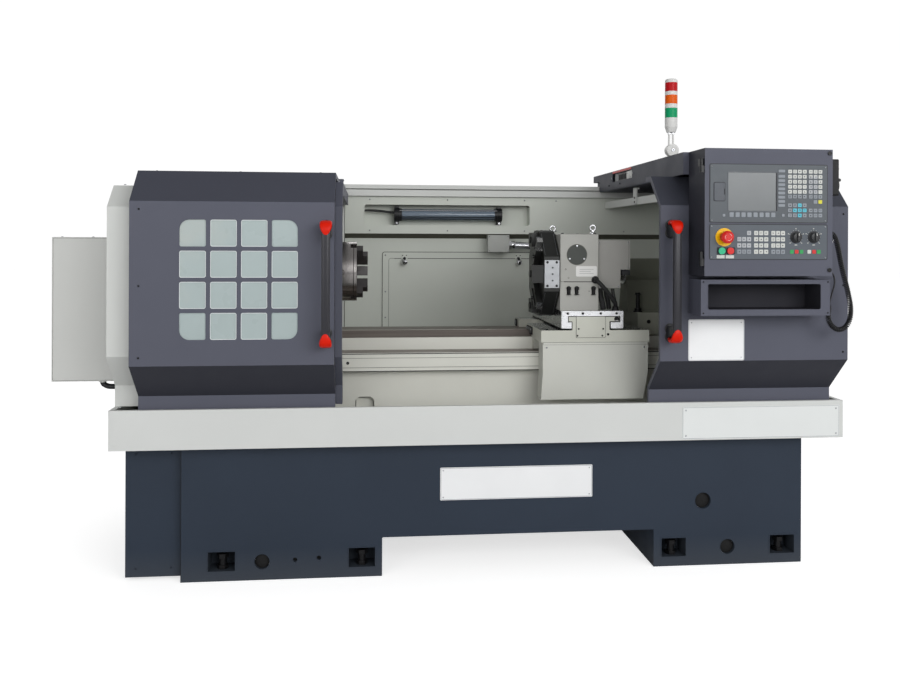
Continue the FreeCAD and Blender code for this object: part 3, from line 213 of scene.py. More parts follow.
# darker copies of the hood charcoal for faces sloping down or up to the front: painted shade
M["hood_shaded_low"] = material("hood_charcoal_shaded_low", lin(52, 53, 61), rough=0.55, var=0.05, vscale=1.6, bump=0.25, bscale=900, spec=0.2)
M["hood_shaded_top"] = material("hood_charcoal_shaded_top", lin(66, 68, 78), rough=0.52, var=0.05, vscale=1.6, bump=0.25, bscale=900, spec=0.22)
M["tail_base"] = material("tailstock_base_casting", lin(150, 151, 140), rough=0.55, var=0.08, vscale=5, bump=0.4, bscale=220, spec=0.25)
# dark matte copy of the cover grey for the cabinet's end faces: painted shade
M["cab_side_shaded"] = material("cabinet_side_painted_shade", lin(120, 122, 118), rough=0.9, var=0.04, vscale=1.8, spec=0.0)
# darker copy of the guard grey for down-facing faces: painted shade
M["guard_shaded_under"] = material("guard_under_painted_shade", lin(92, 92, 82), rough=0.7, var=0.05, vscale=1.5, spec=0.15)
M["plate_dark"] = material("black_plastic_dark", lin(30, 30, 32), rough=0.5, var=0.08, vscale=20, spec=0.3)
M["conduit"] = material("conduit_silver", lin(186, 188, 192), rough=0.36, metal=0.75, var=0.08, vscale=20, rvar=0.04)
# near-white rim colour: painted highlight of the window cells' cut edges
M["rim"] = material("window_rim_painted_highlight", lin(214, 220, 220), rough=0.4, var=0.02, vscale=20)
M["film_edge"] = material("film_edge_dark", lin(36, 38, 44), rough=0.5, var=0.03, vscale=20)
M["screen_edge"] = material("screen_edge", lin(84, 88, 94), rough=0.4, var=0.03, vscale=20)
M["flap"] = material("port_flap", lin(80, 84, 91), rough=0.5, var=0.04, vscale=20, bump=0.1, bscale=900)
M["knob"] = material("knob_charcoal", lin(48, 49, 51), rough=0.42, var=0.06, vscale=30, bump=0.1, bscale=1200)
M["red_dark"] = material("stop_arrow", lin(228, 200, 196), rough=0.4, var=0.03, vscale=30)
M["seam"] = material("seam_shadow", lin(92, 93, 88), rough=0.7, var=0.06, vscale=30)
M["seam_mid"] = material("seam_mid", lin(112, 116, 110), rough=0.6, var=0.05, vscale=20)
# dark seams; also painted shadow strips on the rear wall and the bed's front
M["dark_seam_and_shade"] = material("dark_seam_and_shade", lin(52, 54, 50), rough=0.7, var=0.06, vscale=30)
M["cover_dark"] = material("round_cover_dark", lin(66, 69, 66), rough=0.5, var=0.06, vscale=20, spec=0.3)
M["tag"] = material("bare_tag", lin(206, 206, 204), rough=0.32, var=0.03, vscale=20, coat=0.3)
M["tag_line"] = material("tag_line", lin(150, 150, 150), rough=0.5, var=0.03, vscale=20)
M["hose"] = material("hose_black", lin(30, 29, 28), rough=0.5, var=0.1, vscale=20, bump=0.2, bscale=400)
M["grey_metal"] = material("grey_metal", lin(104, 106, 108), rough=0.4, metal=0.7, var=0.08, vscale=20)
M["chuck_ring"] = material("chuck_ring", lin(70, 66, 64), rough=0.3, metal=1.0, var=0.1, vscale=20)

def datum(c):
    return (c[0] * 1000 - OX, c[1] * 1000 - OY, c[2] * 1000)


def assign(node, keys, pick=None):
    # finish of a CAD node; pick(point, normal) gives the index of the finish of a face
    keys = [keys] if isinstance(keys, str) else keys
    me = NODES[node].data
    me.materials.clear()
    for k in keys:
        me.materials.append(M[k])
    for p in me.polygons:
        p.material_index = pick(datum(p.center), p.normal) if pick else 0


def near(a, b, t=0.6):
    return abs(a - b) < t


def base_pick(c, n):
    x, y, z = c
    if y < 71 or y > 899 or x < 205 or x > 2263:
        return 0
    if 842 - 42 < x < 1748 + 42 and z < 126 and (n.z < 0 or abs(n.x) > 0.3) and n.y == n.y and (abs(n.z) > 0.02 or z < 124) and \
            not (218 < x < 841) and not (1749 < x < 2250):
        return 0
    return 1


assign("base_cabinet", ["base", "base_in"], base_pick)
assign("base_end_panel", "base")
assign("levelling_feet", "black_screw")
assign("chip_pan", "pan")


def bed_pick(c, n):
    x, y, z = c
    if z > 748 and n.z > 0.2:
        return 1
    if z > 749 and abs(n.x) < 0.5:
        return 1
    if near(y, 195) or (n.z > 0.9 and near(z, 708) and y < 286):
        return 1 if n.z > 0.9 else 0
    return 0


assign("bed", ["cream", "way"], bed_pick)
assign("z_screw", "steel")
assign("drive_motors", ["motor", "zinc"], lambda c, n: 1 if c[0] < 40.5 else 0)
assign("headstock_housing", "cast_light")
assign("spindle_bearings", "steel")
assign("spindle", "steel")
assign("spindle_pulley", "chuck_face")
assign("motor_pulley", "chuck_face")
assign("drive_belt", "rubber")
assign("chuck_body", ["chuck", "chuck_face"], lambda c, n: 1 if c[0] > 752.5 or math.hypot(c[1] - 445, c[2] - 976) < 106 else 0)
for k in (1, 2, 3):
    assign("chuck_jaw_%d" % k, "jaw")
assign("headstock_cover", ["cover", "hood"], lambda c, n: 1 if c[0] > 689.9 else 0)
# the belt guard takes the darker copy of the cover grey: painted shade
assign("belt_guard", ["cover2", "plastic"], lambda c, n: 1 if c[2] < 614.7 else 0)
# down-facing faces of the guard take the darker copy: painted shade under the overhang
assign("rear_guard", ["guard", "guard_shaded_under"], lambda c, n: 1 if n.z < -0.3 else 0)
assign("access_panel", ["guard", "plastic"], lambda c, n: 1 if c[1] < 989.9 else 0)


def lamp_pick(c, n):
    x, y, z = c
    if z < 1128 and y < 1000:
        return 3 if x <= 1390.1 else 4
    if 925.9 < x < 1344.1:
        return 1 if math.hypot(y - 984, z - 1199) < 13.6 else 0
    return 2


assign("work_lamp", ["lamp", "lamp_core", "plastic", "junction", "conduit"], lamp_pick)
assign("hood_rails", "cover")
assign("tailstock_end_cover", "cover")
# end faces of the cabinet take the dark matte copy: painted shade
assign("electrical_cabinet", ["cover", "cab_side_shaded"], lambda c, n: 1 if c[0] > 695.4 and abs(n.x) > 0.9 else 0)
assign("cabinet_door", "cover")
assign("saddle", ["cast_light", "motor", "steel"], lambda c, n: 1 if c[1] > 765.5 else
       (2 if c[2] > 786.9 and c[1] > 121 else 0))
assign("x_screw", "steel")
assign("apron", "apron")
assign("cross_slide", ["steel", "silver"], lambda c, n: 1 if c[1] < 127.9 else 0)


def turret_pick(c, n):
    x, y, z = c
    if z > 1114.2:
        return 1
    if y < 153.9 or (z < 960 and y < 153):
        return 2
    if 154.5 < y < 160.2 and math.hypot(x - 1502, z - 1043) < 33.95:
        return 3
    return 0


assign("turret_body", ["turret", "chrome", "rubber", "cover_dark"], turret_pick)
assign("turret_motor_cover", "turret2")
assign("turret_disc", "oxide")


def tool_pick(c, n):
    x, y, z = c
    r = math.hypot(y - 293, z - 977)
    a = math.atan2(z - 977, -(y - 293))
    k = round(a / (math.pi / 4))
    d = r * math.cos(a - k * math.pi / 4)
    if k == 0 and x > 1388.2 and d > 142.5:
        return 1
    if k % 2 == 0 and x < 1387 and d > 140.5 and x > 1345:
        return 0
    if k % 2 and d > 137.9:
        return 2
    return 0


assign("turret_tools", ["oxide", "silver_dull", "steel"], tool_pick)
# the front of the body above the base, beside the clamping bolt, is painted near black: painted shade under the barrel
# housing
assign("tailstock_body", ["tail", "black_screw", "tail_base"], lambda c, n: 1 if c[0] < 1806 and c[2] > 832.1 and c[1] < 365 else (2 if c[2] < 832.2 else 0))
assign("quill", "steel")
assign("tailstock_handwheel", ["chrome", "plastic"], lambda c, n: 1 if c[0] > 2078.2 and c[2] > 1040 else 0)


# hood faces sloping down or up to the front take the darker copies: painted shade by face direction
def hood_shade_pick(c, n):
    if n.z < -0.4 and n.y < -0.4 and c[1] < 60:
        return 2
    if n.z > 0.4 and n.y < -0.4:
        return 3
    return 0


assign("left_hood", ["hood", "white", "hood_shaded_low", "hood_shaded_top"], lambda c, n: 1 if (c[1] < 43 and 540.4 < c[2] < 562.1 and c[1] > 23.15 and
                                                                                 abs(c[0] - 387) > 175) else hood_shade_pick(c, n))
assign("left_window", "pane")


def handle_pick(z0, z1):
    def f(c, n):
        x, y, z = c
        lo, hi = z0 + 40.0, z1 - 40.0
        if y > -149.9 and (abs(z - (z1 - 28)) < 31 or abs(z - (z0 + 28)) < 31) and abs(x - XC) < 13.2 and (y > -117.9 or (z < hi + 11 and z > lo - 11)):
            return 2
        if lo - 0.2 < z < hi + 0.2 and y < -149.5:
            return 0
        return 1
    return f


XC = 667
assign("left_handle", ["bar", "cap", "plastic"], handle_pick(766, 1149))
XC = 1744
assign("right_handle", ["bar", "cap", "plastic"], handle_pick(772, 1157))
assign("right_hood", ["hood", "hood", "hood_shaded_low", "hood_shaded_top"], hood_shade_pick)
# the beam's left-facing side takes the darker top copy of the hood charcoal: painted shade
assign("roof_beam", ["hood", "hood_shaded_top"], lambda c, n: 1 if n.x < -0.5 else 0)
assign("tower_base", "white")


def tower_pick(c, n):
    z = c[2]
    if 1515.0 - 0.1 < z < 1549.1:
        return 1
    if 1562.9 < z < 1594.1:
        return 2
    if 1605.9 < z < 1637.1:
        return 3
    return 0


assign("signal_column", ["white", "lens_green", "amber", "lens_red"], tower_pick)
# left-facing sides of the pendant take the darker low copy of the hood charcoal: painted shade beside the hood
assign("pendant_housing", ["hood", "plastic", "hood_shaded_low"], lambda c, n: 1 if c[0] < 1803.6 else (2 if n.x < -0.8 else 0))
assign("pendant_door", ["hood", "plastic", "hood_shaded_low"], lambda c, n: 1 if c[0] < 1803.6 else (2 if n.x < -0.8 else 0))


def panel_pick(c, n):
    x, y, z = c
    d = math.hypot(x - 1864.5, z - 1103)
    if y < -233.05 and d < 28.5:
        return 3 if y > -235.2 and d > 15.1 else 4
    if y < -233.02:                                     # keys
        if z > 1160 and 2064 < x < 2178:
            if z > 1236:
                return 11 if (x < 2130 or z > 1290 or 2160 < x) else 2
            if z > 1220:
                return 12
            if z > 1206:
                return 6 if x > 2160 else 12
            cyan = (near(x, 2103.2, 7) and z < 1208) or (2080 < x < 2126 and 1178 < z < 1194)
            return 7 if cyan else 12
        if z > 1160:
            return 12
        if z < 1070 and x > 2070:
            i = min(range(6), key=lambda k: abs(x - (2078.6, 2093.8, 2109.1, 2134.1, 2149.5, 2164.8)[k]))
            return (9, 8, 9, 11, 8, 9)[i]
        if z < 1066 and (x < 1950 or x > 2010):
            return 12
        return 2 if x < 1950 else 11
    if y < -231 and 1877 < x < 2028 and 1183 < z < 1300 and y > -232.5:
        return 1
    return 0 if z > 1145 else 10


assign("control_panels", ["panel", "screen", "key", "yellow", "red", "key_dark", "key_yellow", "key_cyan", "key_red", "key_green",
                          "panel2", "key2", "key_dim"], panel_pick)
assign("e_stop_head", "red")
assign("power_on_button", "green")
assign("power_off_button", "red")
assign("feed_override_knob", "plastic")
assign("spindle_override_knob", "plastic")
assign("pendant_lock_upper", "black_screw")
assign("pendant_lock_lower", "black_screw")
# faces inside the shelf pocket take the darker copy: painted shade in the recess
assign("shelf_pocket", ["hood", "hood_shaded_in"], lambda c, n: 1 if 1825.5 < c[0] < 2188.5 and 880.5 < c[2] < 960.5 and c[1] > -202.5 else 0)
assign("mpg_unit", ["plate_dark", "chrome"], lambda c, n: 1 if c[1] > -153 and c[2] < 1100 else 0)
assign("mpg_wheel", "plastic")
assign("cord_coil", "cord")
assign("cord_lead", "cord")


# ---------------------------------------------------------------- mesh helpers
def to_row(bm):
    bm.transform(Matrix.Translation(Vector((OX / 1000, OY / 1000, 0))) @ Matrix.Scale(0.001, 4))


def piece(name, bm, keys, body, smooth_angle=35):
    bmesh.ops.recalc_face_normals(bm, faces=bm.faces)
    to_row(bm)
    me = bpy.data.meshes.new(name)
    bm.to_mesh(me)
    bm.free()
    for k in ([keys] if isinstance(keys, str) else keys):
        me.materials.append(M[k])
    for p in me.polygons:
        p.use_smooth = True
    me.set_sharp_from_angle(angle=math.radians(smooth_angle))
    o = bpy.data.objects.new(name, me)
    bpy.context.scene.collection.objects.link(o)
    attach(o, body)
    return o


AXES = {"x": (Vector((0, 1, 0)), Vector((0, 0, 1)), Vector((1, 0, 0))),
        "y": (Vector((1, 0, 0)), Vector((0, 0, 1)), Vector((0, 1, 0))),
        "z": (Vector((1, 0, 0)), Vector((0, 1, 0)), Vector((0, 0, 1)))}


def rrect(a0, b0, a1, b1, r, seg=5):
    r = max(0.0, min(r, (a1 - a0) / 2 - 1e-3, (b1 - b0) / 2 - 1e-3))
    if r < 1e-3:
        return [(a0, b0), (a1, b0), (a1, b1), (a0, b1)]
    pts = []
    for cx, cy, s in ((a1 - r, b0 + r, -90), (a1 - r, b1 - r, 0), (a0 + r, b1 - r, 90), (a0 + r, b0 + r, 180)):
        for k in range(seg + 1):
            t = math.radians(s + 90 * k / seg)
            pts.append((cx + r * math.cos(t), cy + r * math.sin(t)))
    return pts


def loft(bm, ax, loops, mi=0, cap0=True, cap1=True):
    # loops: [(points2d, depth)], all with the same count, joined in order along the axis
    u, v, w = AXES[ax]
    rings = []
    for pts, d in loops:
        rings.append([bm.verts.new(u * a + v * b + w * d) for a, b in pts])
    for q in range(len(rings) - 1):
        r0, r1 = rings[q], rings[q + 1]
        n = len(r0)
        for i in range(n):
            f = bm.faces.new((r0[i], r0[(i + 1) % n], r1[(i + 1) % n], r1[i]))
            f.material_index = mi
    if cap0:
        bm.faces.new(rings[0][::-1]).material_index = mi
    if cap1:
        bm.faces.new(rings[-1]).material_index = mi
    return rings


def plate(bm, ax, a0, b0, a1, b1, back, front, r=2.0, ch=0.4, mi=0, seg=5):
    # rounded plate from its back face to its chamfered front face
    s = 1 if front > back else -1
    ch = min(ch, abs(front - back) * 0.9)
    loft(bm, ax, [(rrect(a0, b0, a1, b1, r, seg), back), (rrect(a0, b0, a1, b1, r, seg), front - s * ch),
                  (rrect(a0 + ch, b0 + ch, a1 - ch, b1 - ch, max(0.0, r - ch), seg), front)], mi)


def hoop(bm, ax, a0, b0, a1, b1, width, back, front, r=2.0, mi=0, seg=6):
    # rounded rectangular ring lying on a face
    u, v, w = AXES[ax]
    out = rrect(a0, b0, a1, b1, r, seg)
    inn = rrect(a0 + width, b0 + width, a1 - width, b1 - width, max(0.3, r - width), seg)
    mk = lambda pts, d: [bm.verts.new(u * a + v * b + w * d) for a, b in pts]
    A, B, C, D = mk(out, back), mk(out, front), mk(inn, front), mk(inn, back)
    n = len(out)
    for i in range(n):
        j = (i + 1) % n
        for q in ((A[i], A[j], B[j], B[i]), (B[i], B[j], C[j], C[i]), (C[i], C[j], D[j], D[i])):
            bm.faces.new(q).material_index = mi


def lathe(bm, pos, axis, prof, seg=20, mi=0, phase=0.0, close=True):
    # profile [(radius, height)] turned about an axis through pos
    w = Vector(axis).normalized()
    u = w.orthogonal().normalized() if abs(w.z) < 0.9 else Vector((1, 0, 0))
    if abs(w.x) > 0.9:
        u = Vector((0, 1, 0))
    if abs(w.y) > 0.9:
        u = Vector((1, 0, 0))
    v = w.cross(u)
    pos = Vector(pos)
    rings = []
    for r, h in prof:
        if r < 1e-6:
            rings.append([bm.verts.new(pos + w * h)])
        else:
            rings.append([bm.verts.new(pos + w * h + (u * math.cos(phase + 2 * math.pi * i / seg) +
                                                      v * math.sin(phase + 2 * math.pi * i / seg)) * r) for i in range(seg)])
    for a, b in zip(rings, rings[1:]):
        for i in range(seg):
            j = (i + 1) % seg
            if len(a) == 1 and len(b) == 1:
                continue
            if len(a) == 1:
                f = bm.faces.new((a[0], b[j], b[i]))
            elif len(b) == 1:
                f = bm.faces.new((a[i], a[j], b[0]))
            else:
                f = bm.faces.new((a[i], a[j], b[j], b[i]))
            f.material_index = mi
    if close:
        for g in (rings[0], rings[-1]):
            if len(g) > 1:
                bm.faces.new(g if g is rings[-1] else g[::-1]).material_index = mi


def button_screw(bm, pos, axis, r=5.0, mi=0, mi_hole=1, h=None):
    # domed socket screw with a hexagon recess
    h = h or r * 0.55
    lathe(bm, pos, axis, [(r, -0.2), (r, h * 0.25), (r * 0.9, h * 0.62), (r * 0.62, h * 0.95), (r * 0.45, h)], 18, mi, close=False)
    lathe(bm, pos, axis, [(r * 0.45, h), (r * 0.42, h * 0.35), (0, h * 0.3)], 6, mi_hole, close=False)
    lathe(bm, pos, axis, [(r * 0.45, h), (r * 0.455, h - 0.01)], 18, mi, close=False)


def hex_bolt(bm, pos, axis, r=7.0, h=None, mi=0, washer=True):
    h = h or r * 0.75
    if washer:
        lathe(bm, pos, axis, [(r * 1.35, -0.2), (r * 1.35, 1.2), (r * 1.28, 1.5), (0, 1.5)], 24, mi, close=False)
    lathe(bm, pos, axis, [(r, 1.4), (r, h * 0.85), (r * 0.86, h), (0, h)], 6, mi, close=False)


def socket_screw(bm, pos, axis, r=6.0, h=6.0, mi=0, mi_hole=1):
    lathe(bm, pos, axis, [(r, -0.2), (r, h * 0.9), (r * 0.92, h), (r * 0.55, h)], 20, mi, close=False)
    lathe(bm, pos, axis, [(r * 0.6, h), (r * 0.56, h * 0.3), (0, h * 0.25)], 6, mi_hole, close=False)


def rivet(bm, pos, axis, r=2.6, mi=0):
    lathe(bm, pos, axis, [(r, -0.1), (r, 0.3), (r * 0.8, 0.9), (r * 0.4, 1.2), (0, 1.3)], 14, mi, close=False)


def slot_screw(bm, pos, axis, r=4.0, mi=0):
    lathe(bm, pos, axis, [(r, -0.1), (r, 0.6), (r * 0.85, 1.2), (r * 0.3, 1.45), (r * 0.28, 0.5), (0, 0.4)], 16, mi, close=False)


def tube_along(bm, pts, r, seg=10, mi=0, cap=True):
    pts = [Vector(p) for p in pts]
    t0 = (pts[1] - pts[0]).normalized()
    n = t0.orthogonal().normalized()
    rings = []
    for i, p in enumerate(pts):
        a = pts[max(0, i - 1)]
        b = pts[min(len(pts) - 1, i + 1)]
        t = (b - a).normalized()
        n = (n - t * n.dot(t)).normalized()
        m = t.cross(n)
        rings.append([bm.verts.new(p + (n * math.cos(2 * math.pi * k / seg) + m * math.sin(2 * math.pi * k / seg)) * r) for k in range(seg)])
    for a, b in zip(rings, rings[1:]):
        for k in range(seg):
            j = (k + 1) % seg
            bm.faces.new((a[k], a[j], b[j], b[k])).material_index = mi
    if cap:
        bm.faces.new(rings[0][::-1]).material_index = mi
        bm.faces.new(rings[-1]).material_index = mi


def smooth_line(ctrl, per=10):
    # points on a quadratic NURBS through the control polygon, read from a curve without bevel
    cu = bpy.data.curves.new("line", "CURVE")
    cu.dimensions = "3D"
    sp = cu.splines.new("NURBS")
    sp.points.add(len(ctrl) - 1)
    for q, p in zip(sp.points, ctrl):
        q.co = (p[0], p[1], p[2], 1.0)
    sp.order_u = 3
    sp.use_endpoint_u = True
    sp.resolution_u = per
    ob = bpy.data.objects.new("line", cu)
    bpy.context.scene.collection.objects.link(ob)
    me = bpy.data.meshes.new_from_object(ob)
    out = [v.co.copy() for v in me.vertices]
    bpy.data.objects.remove(ob)
    bpy.data.curves.remove(cu)
    bpy.data.meshes.remove(me)
    return out


LHX = 84.5
# ------------------------------------------------------------ handles
def claw(bm, xc, ze, s, mi):
    # cap that curves over the end of the bar and runs to a rounded point
    st = [(-108, 9, 24, 9), (-118, 3.5, 30, 11), (-132, 0.6, 34, 12), (-146, 0.8, 36, 13), (-158, 4.5, 37, 14), (-166, 11, 37, 14),
          (-170.5, 20, 35, 13), (-172, 29, 30, 12), (-171.6, 37, 23, 10), (-170.2, 44, 14, 7), (-168.6, 48.5, 5, 3)]
    rings = []
    for i, (y, o, w, t) in enumerate(st):
        a, b = st[max(0, i - 1)], st[min(len(st) - 1, i + 1)]
        tan = Vector((0, b[0] - a[0], -(b[1] - a[1]) * s)).normalized()
        nor = Vector((1, 0, 0)).cross(tan)
        if nor.dot(Vector((0, -1, s * 0.6))) < 0:
            nor = -nor
        c = Vector((xc, y, ze - s * o)) - nor * (t / 2)
        ring = []
        for k in range(20):
            th = 2 * math.pi * k / 20
            cs, sn = math.cos(th), math.sin(th)
            px_ = math.copysign(abs(cs) ** 0.62, cs) * w / 2
            py_ = math.copysign(abs(sn) ** 0.75, sn) * t / 2
            if py_ > 0:
                py_ *= 1.0
            ring.append(bm.verts.new(c + Vector((1, 0, 0)) * px_ + nor * py_))
        rings.append(ring)
    for a, b in zip(rings, rings[1:]):
        for k in range(20):
            j = (k + 1) % 20
            bm.faces.new((a[k], a[j], b[j], b[k])).material_index = mi
    bm.faces.new(rings[0][::-1]).material_index = mi
    bm.faces.new(rings[-1]).material_index = mi


def door_handle(name, node, body, xc, z0, z1):
    bm = bmesh.new()
    zs = [z0 + 30, z0 + 34, z1 - 34, z1 - 30]
    loops = []
    for z, k in zip(zs, (0.5, 0.0, 0.0, 0.5)):
        loops.append((rrect(xc - 13 + k, -170 + k, xc + 13 - k, -151 - k, 8.5, 6), z))
    loft(bm, "z", loops, 0)
    for xx in (xc - 10.4, xc + 10.4):                 # bead along both edges of the bar
        tube_along(bm, [(xx, -167.2, z0 + 34), (xx, -167.2, z1 - 34)], 2.2, 8, 0)
    for s, ze in ((1, z1), (-1, z0)):
        claw(bm, xc, ze, s, 1)
        la = [rrect(xc - 13 + e, min(ze - s * a, ze - s * b), xc + 13 - e, max(ze - s * a, ze - s * b), 5, 4) for a, b, e in
              ((8, 50, 0), (8, 50, 0), (24, 57, 0.5), (34, 60, 1.5))]
        loft(bm, "y", [(la[0], -96.0), (la[1], -101.0), (la[2], -146.0), (la[3], -158.0)], 2)
        for zz in (16, 41):                            # two round pads of the foot against the hood
            lathe(bm, (xc, -96.0, ze - s * zz), (0, -1, 0), [(17.5, 0), (17.5, 1.2), (16.5, 2.0), (0, 2.0)], 24, 2, close=False)
    o = piece(name, bm, ["bar", "cap", "plastic"], body, 40)
    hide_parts(node)


door_handle("left_door_handle", "left_handle", "hood_left", 667, 766, 1149)
door_handle("right_door_handle", "right_handle", "hood_right", 1744, 772, 1157)

# ------------------------------------------------------------ window of the left hood
# light hoops inside the window cells: painted highlight of the cut edges
bm = bmesh.new()
for i in range(4):
    for j in range(4):
        a, b = 230.0 + i * 90.8, 788.0 + j * 93.5
        r = 6.0
        out = rrect(a + 0.1, b + 0.1, a + 77.9, b + 80.9, r, 6)
        if (i, j) in ((0, 0), (0, 3), (3, 0), (3, 3)):
            continue
        hoop(bm, "y", a + 0.1, b + 0.1, a + 77.9, b + 80.9, 2.0, -93.0, -95.2, r, 0)
piece("window_cell_rim_highlights", bm, ["rim"], "hood_left")
bm = bmesh.new()
hoop(bm, "y", 216, 774, 594.5, 1163.5, 7, -89.0, -87.6, 20, 0)          # clamping frame of the pane, inside
for x in (222, 312, 402, 492, 588):
    for z in (780, 1157):
        hex_bolt(bm, (x, -87.6, z), (0, 1, 0), 3.2, 3.0, 1, washer=False)
for z in (875, 970, 1065):
    for x in (219.5, 591):
        hex_bolt(bm, (x, -87.6, z), (0, 1, 0), 3.2, 3.0, 1, washer=False)
# the frame inside the hood takes the darker copy of the hood charcoal: painted shade
piece("window_clamp_frame", bm, ["hood_shaded_in", "zinc"], "hood_left")


# ------------------------------------------------------------ plates
def rect_line(bm, ax, a0, b0, a1, b1, w, back, front, mi=0, r=2.0):
    hoop(bm, ax, a0, b0, a1, b1, w, back, front, r, mi, 4)


bm = bmesh.new()
plate(bm, "y", 1030, 240.5, 1537, 347, 70.0, 68.8, 3, 0.3, 0)
rect_line(bm, "y", 1032, 242.5, 1535, 345, 1.2, 68.9, 68.6, 2, 2)
for x in (1040, 1527):
    for z in (250, 337.5):
        rivet(bm, (x, 68.8, z), (0, -1, 0), 2.4, 1)
piece("beam_plate", bm, ["plate", "zinc", "plate_edge"], "machine_frame")
bm = bmesh.new()
plate(bm, "y", 1820, 441, 2361, 546, 0.0, -1.0, 4, 0.3, 0)
rect_line(bm, "y", 1821.5, 442.5, 2359.5, 544.5, 1.0, -0.9, -1.2, 2, 3)
for x in (1832, 2349):
    for z in (452, 535):
        rivet(bm, (x, -1.0, z), (0, -1, 0), 3.0, 1)
piece("pan_plate", bm, ["plate_pale", "zinc", "plate_edge"], "machine_frame")
bm = bmesh.new()
plate(bm, "y", 1804, 711, 1988, 842, -96.0, -96.8, 5, 0.2, 0)
rect_line(bm, "y", 1805.5, 712.5, 1986.5, 840.5, 0.9, -96.7, -97.0, 1, 3)
for x in (1814, 1978):
    for z in (721, 832):
        rivet(bm, (x, -96.8, z), (0, -1, 0), 2.0, 2)
piece("hood_blank_plate", bm, ["plate", "plate_edge", "zinc"], "hood_right")

# ------------------------------------------------------------ operator pendant
bm = bmesh.new()
PX0, PX1 = 1820.5, 2191.0
hoop(bm, "y", PX0 - 2.2, 1147.0, PX1 + 2.2, 1326.0, 2.4, -231.0, -232.1, 5, 0)
hoop(bm, "y", PX0 - 2.2, 1034.8, PX1 + 2.2, 1143.4, 2.4, -231.0, -232.1, 5, 0)
hoop(bm, "y", 1874.6, 1180.3, 2031.0, 1302.8, 2.6, -232.9, -233.8, 5, 1)                   # frame round the screen
u = [(2028.2, 1183), (2031.2, 1183), (2031.2, 1300), (2028.2, 1300)]
loft(bm, "y", [(u, -232.9), (u, -234.0)], 0)
plate(bm, "y", 1832, 1213, 1866, 1268.5, -232.9, -235.2, 4, 1.0, 2)                        # flap over the data port
hoop(bm, "y", 1830.6, 1211.6, 1867.4, 1269.9, 1.5, -232.9, -233.5, 5, 0)
plate(bm, "y", 1863.0, 1232, 1865.0, 1250, -235.0, -236.4, 0.8, 0.3, 0)
plate(bm, "y", 1842, 1051, 1899, 1072.6, -232.9, -235.4, 3, 0.6, 0)                        # black base under the power buttons
for x0, x1 in ((1841, 1866), (1869.5, 1895)):
    plate(bm, "y", x0, 1039, x1, 1048.8, -232.9, -234.0, 1.5, 0.2, 3)
# dial scales: ticks on an arc round the two override knobs
for ox, oz in ((2091.6, 1104.3), (2148.2, 1104.6)):
    for k in range(13):
        a = math.radians(225 - 270 * k / 12)
        r0, r1 = 20.0, 23.2 if k % 3 == 0 else 22.0
        c, s_ = math.cos(a), math.sin(a)
        w = 0.45
        u = [(ox + r0 * c - w * s_, oz + r0 * s_ + w * c), (ox + r0 * c + w * s_, oz + r0 * s_ - w * c),
             (ox + r1 * c + w * s_, oz + r1 * s_ - w * c), (ox + r1 * c - w * s_, oz + r1 * s_ + w * c)]
        loft(bm, "y", [(u, -232.9), (u, -233.25)], 3)
        if k % 3 == 0:
            plate(bm, "y", ox + 26 * c - 1.8, oz + 26 * s_ - 1.1, ox + 26 * c + 1.8, oz + 26 * s_ + 1.1, -232.9, -233.2, 0.3, 0.05, 3)
    lathe(bm, (ox, -233.0, oz), (0, -1, 0), [(19.0, -0.1), (19.0, 0.5), (18.4, 0.7), (0, 0.7)], 36, 0, close=False)
    plate(bm, "y", ox - 4, oz - 25.4, ox + 4, oz - 22.8, -232.9, -233.3, 0.6, 0.1, 3)
# corner screws of the two films
for z in (1154, 1318, 1042, 1136):
    for x in (1825.5, 2186):
        button_screw(bm, (x, -233.0, z), (0, -1, 0), 2.0, 4, 0)
for z0 in (1016, 1299):
    lathe(bm, (1797, -222, z0 - 1.2), (0, 0, 1), [(5.0, 0), (6.4, 0.5), (6.4, 1.2)], 20, 0)
piece("pendant_trim", bm, ["film_edge", "screen_edge", "flap", "key2", "zinc"], "pendant_front")

# legends on the keys: short dark marks of many forms, none of them a letter
bm = bmesh.new()


def glyph(x, z, kind, y, mi=0, s=1.0):
    def bar(a, b, c, d):
        u = [(x + a * s, z + b * s), (x + c * s, z + b * s), (x + c * s, z + d * s), (x + a * s, z + d * s)]
        loft(bm, "y", [(u, y + 0.15), (u, y - 0.12)], mi)
    if kind == 0:
        bar(-2.6, -0.5, 2.6, 0.5)
    elif kind == 1:
        bar(-0.5, -2.8, 0.5, 2.8)
        bar(-2.6, -0.5, -0.5, 0.5)
        bar(0.5, -0.5, 2.6, 0.5)
    elif kind == 2:
        bar(-2.6, 1.4, 2.6, 2.3)
        bar(-2.6, -2.3, 2.6, -1.4)
    elif kind == 3:
        bar(-2.4, -2.4, -1.5, 2.4)
        bar(1.5, -2.4, 2.4, 2.4)
    elif kind == 4:
        u = [(x - 2.6 * s, z - 2 * s), (x + 2.6 * s, z), (x - 2.6 * s, z + 2 * s)]
        loft(bm, "y", [(u, y + 0.15), (u, y - 0.12)], mi)
    elif kind == 5:
        u = [(x + 2.6 * s, z - 2 * s), (x - 2.6 * s, z), (x + 2.6 * s, z + 2 * s)]
        loft(bm, "y", [(u, y + 0.15), (u, y - 0.12)], mi)
    elif kind == 6:
        u = [(x - 2.4 * s, z - 2 * s), (x + 2.4 * s, z - 2 * s), (x, z + 2.6 * s)]
        loft(bm, "y", [(u, y + 0.15), (u, y - 0.12)], mi)
    else:
        bar(-2.2, -2.4, 2.2, -1.6)
        bar(-2.2, 1.6, 2.2, 2.4)
        bar(-2.2, -1.6, -1.4, 1.6)
        bar(1.4, -1.6, 2.2, 1.6)


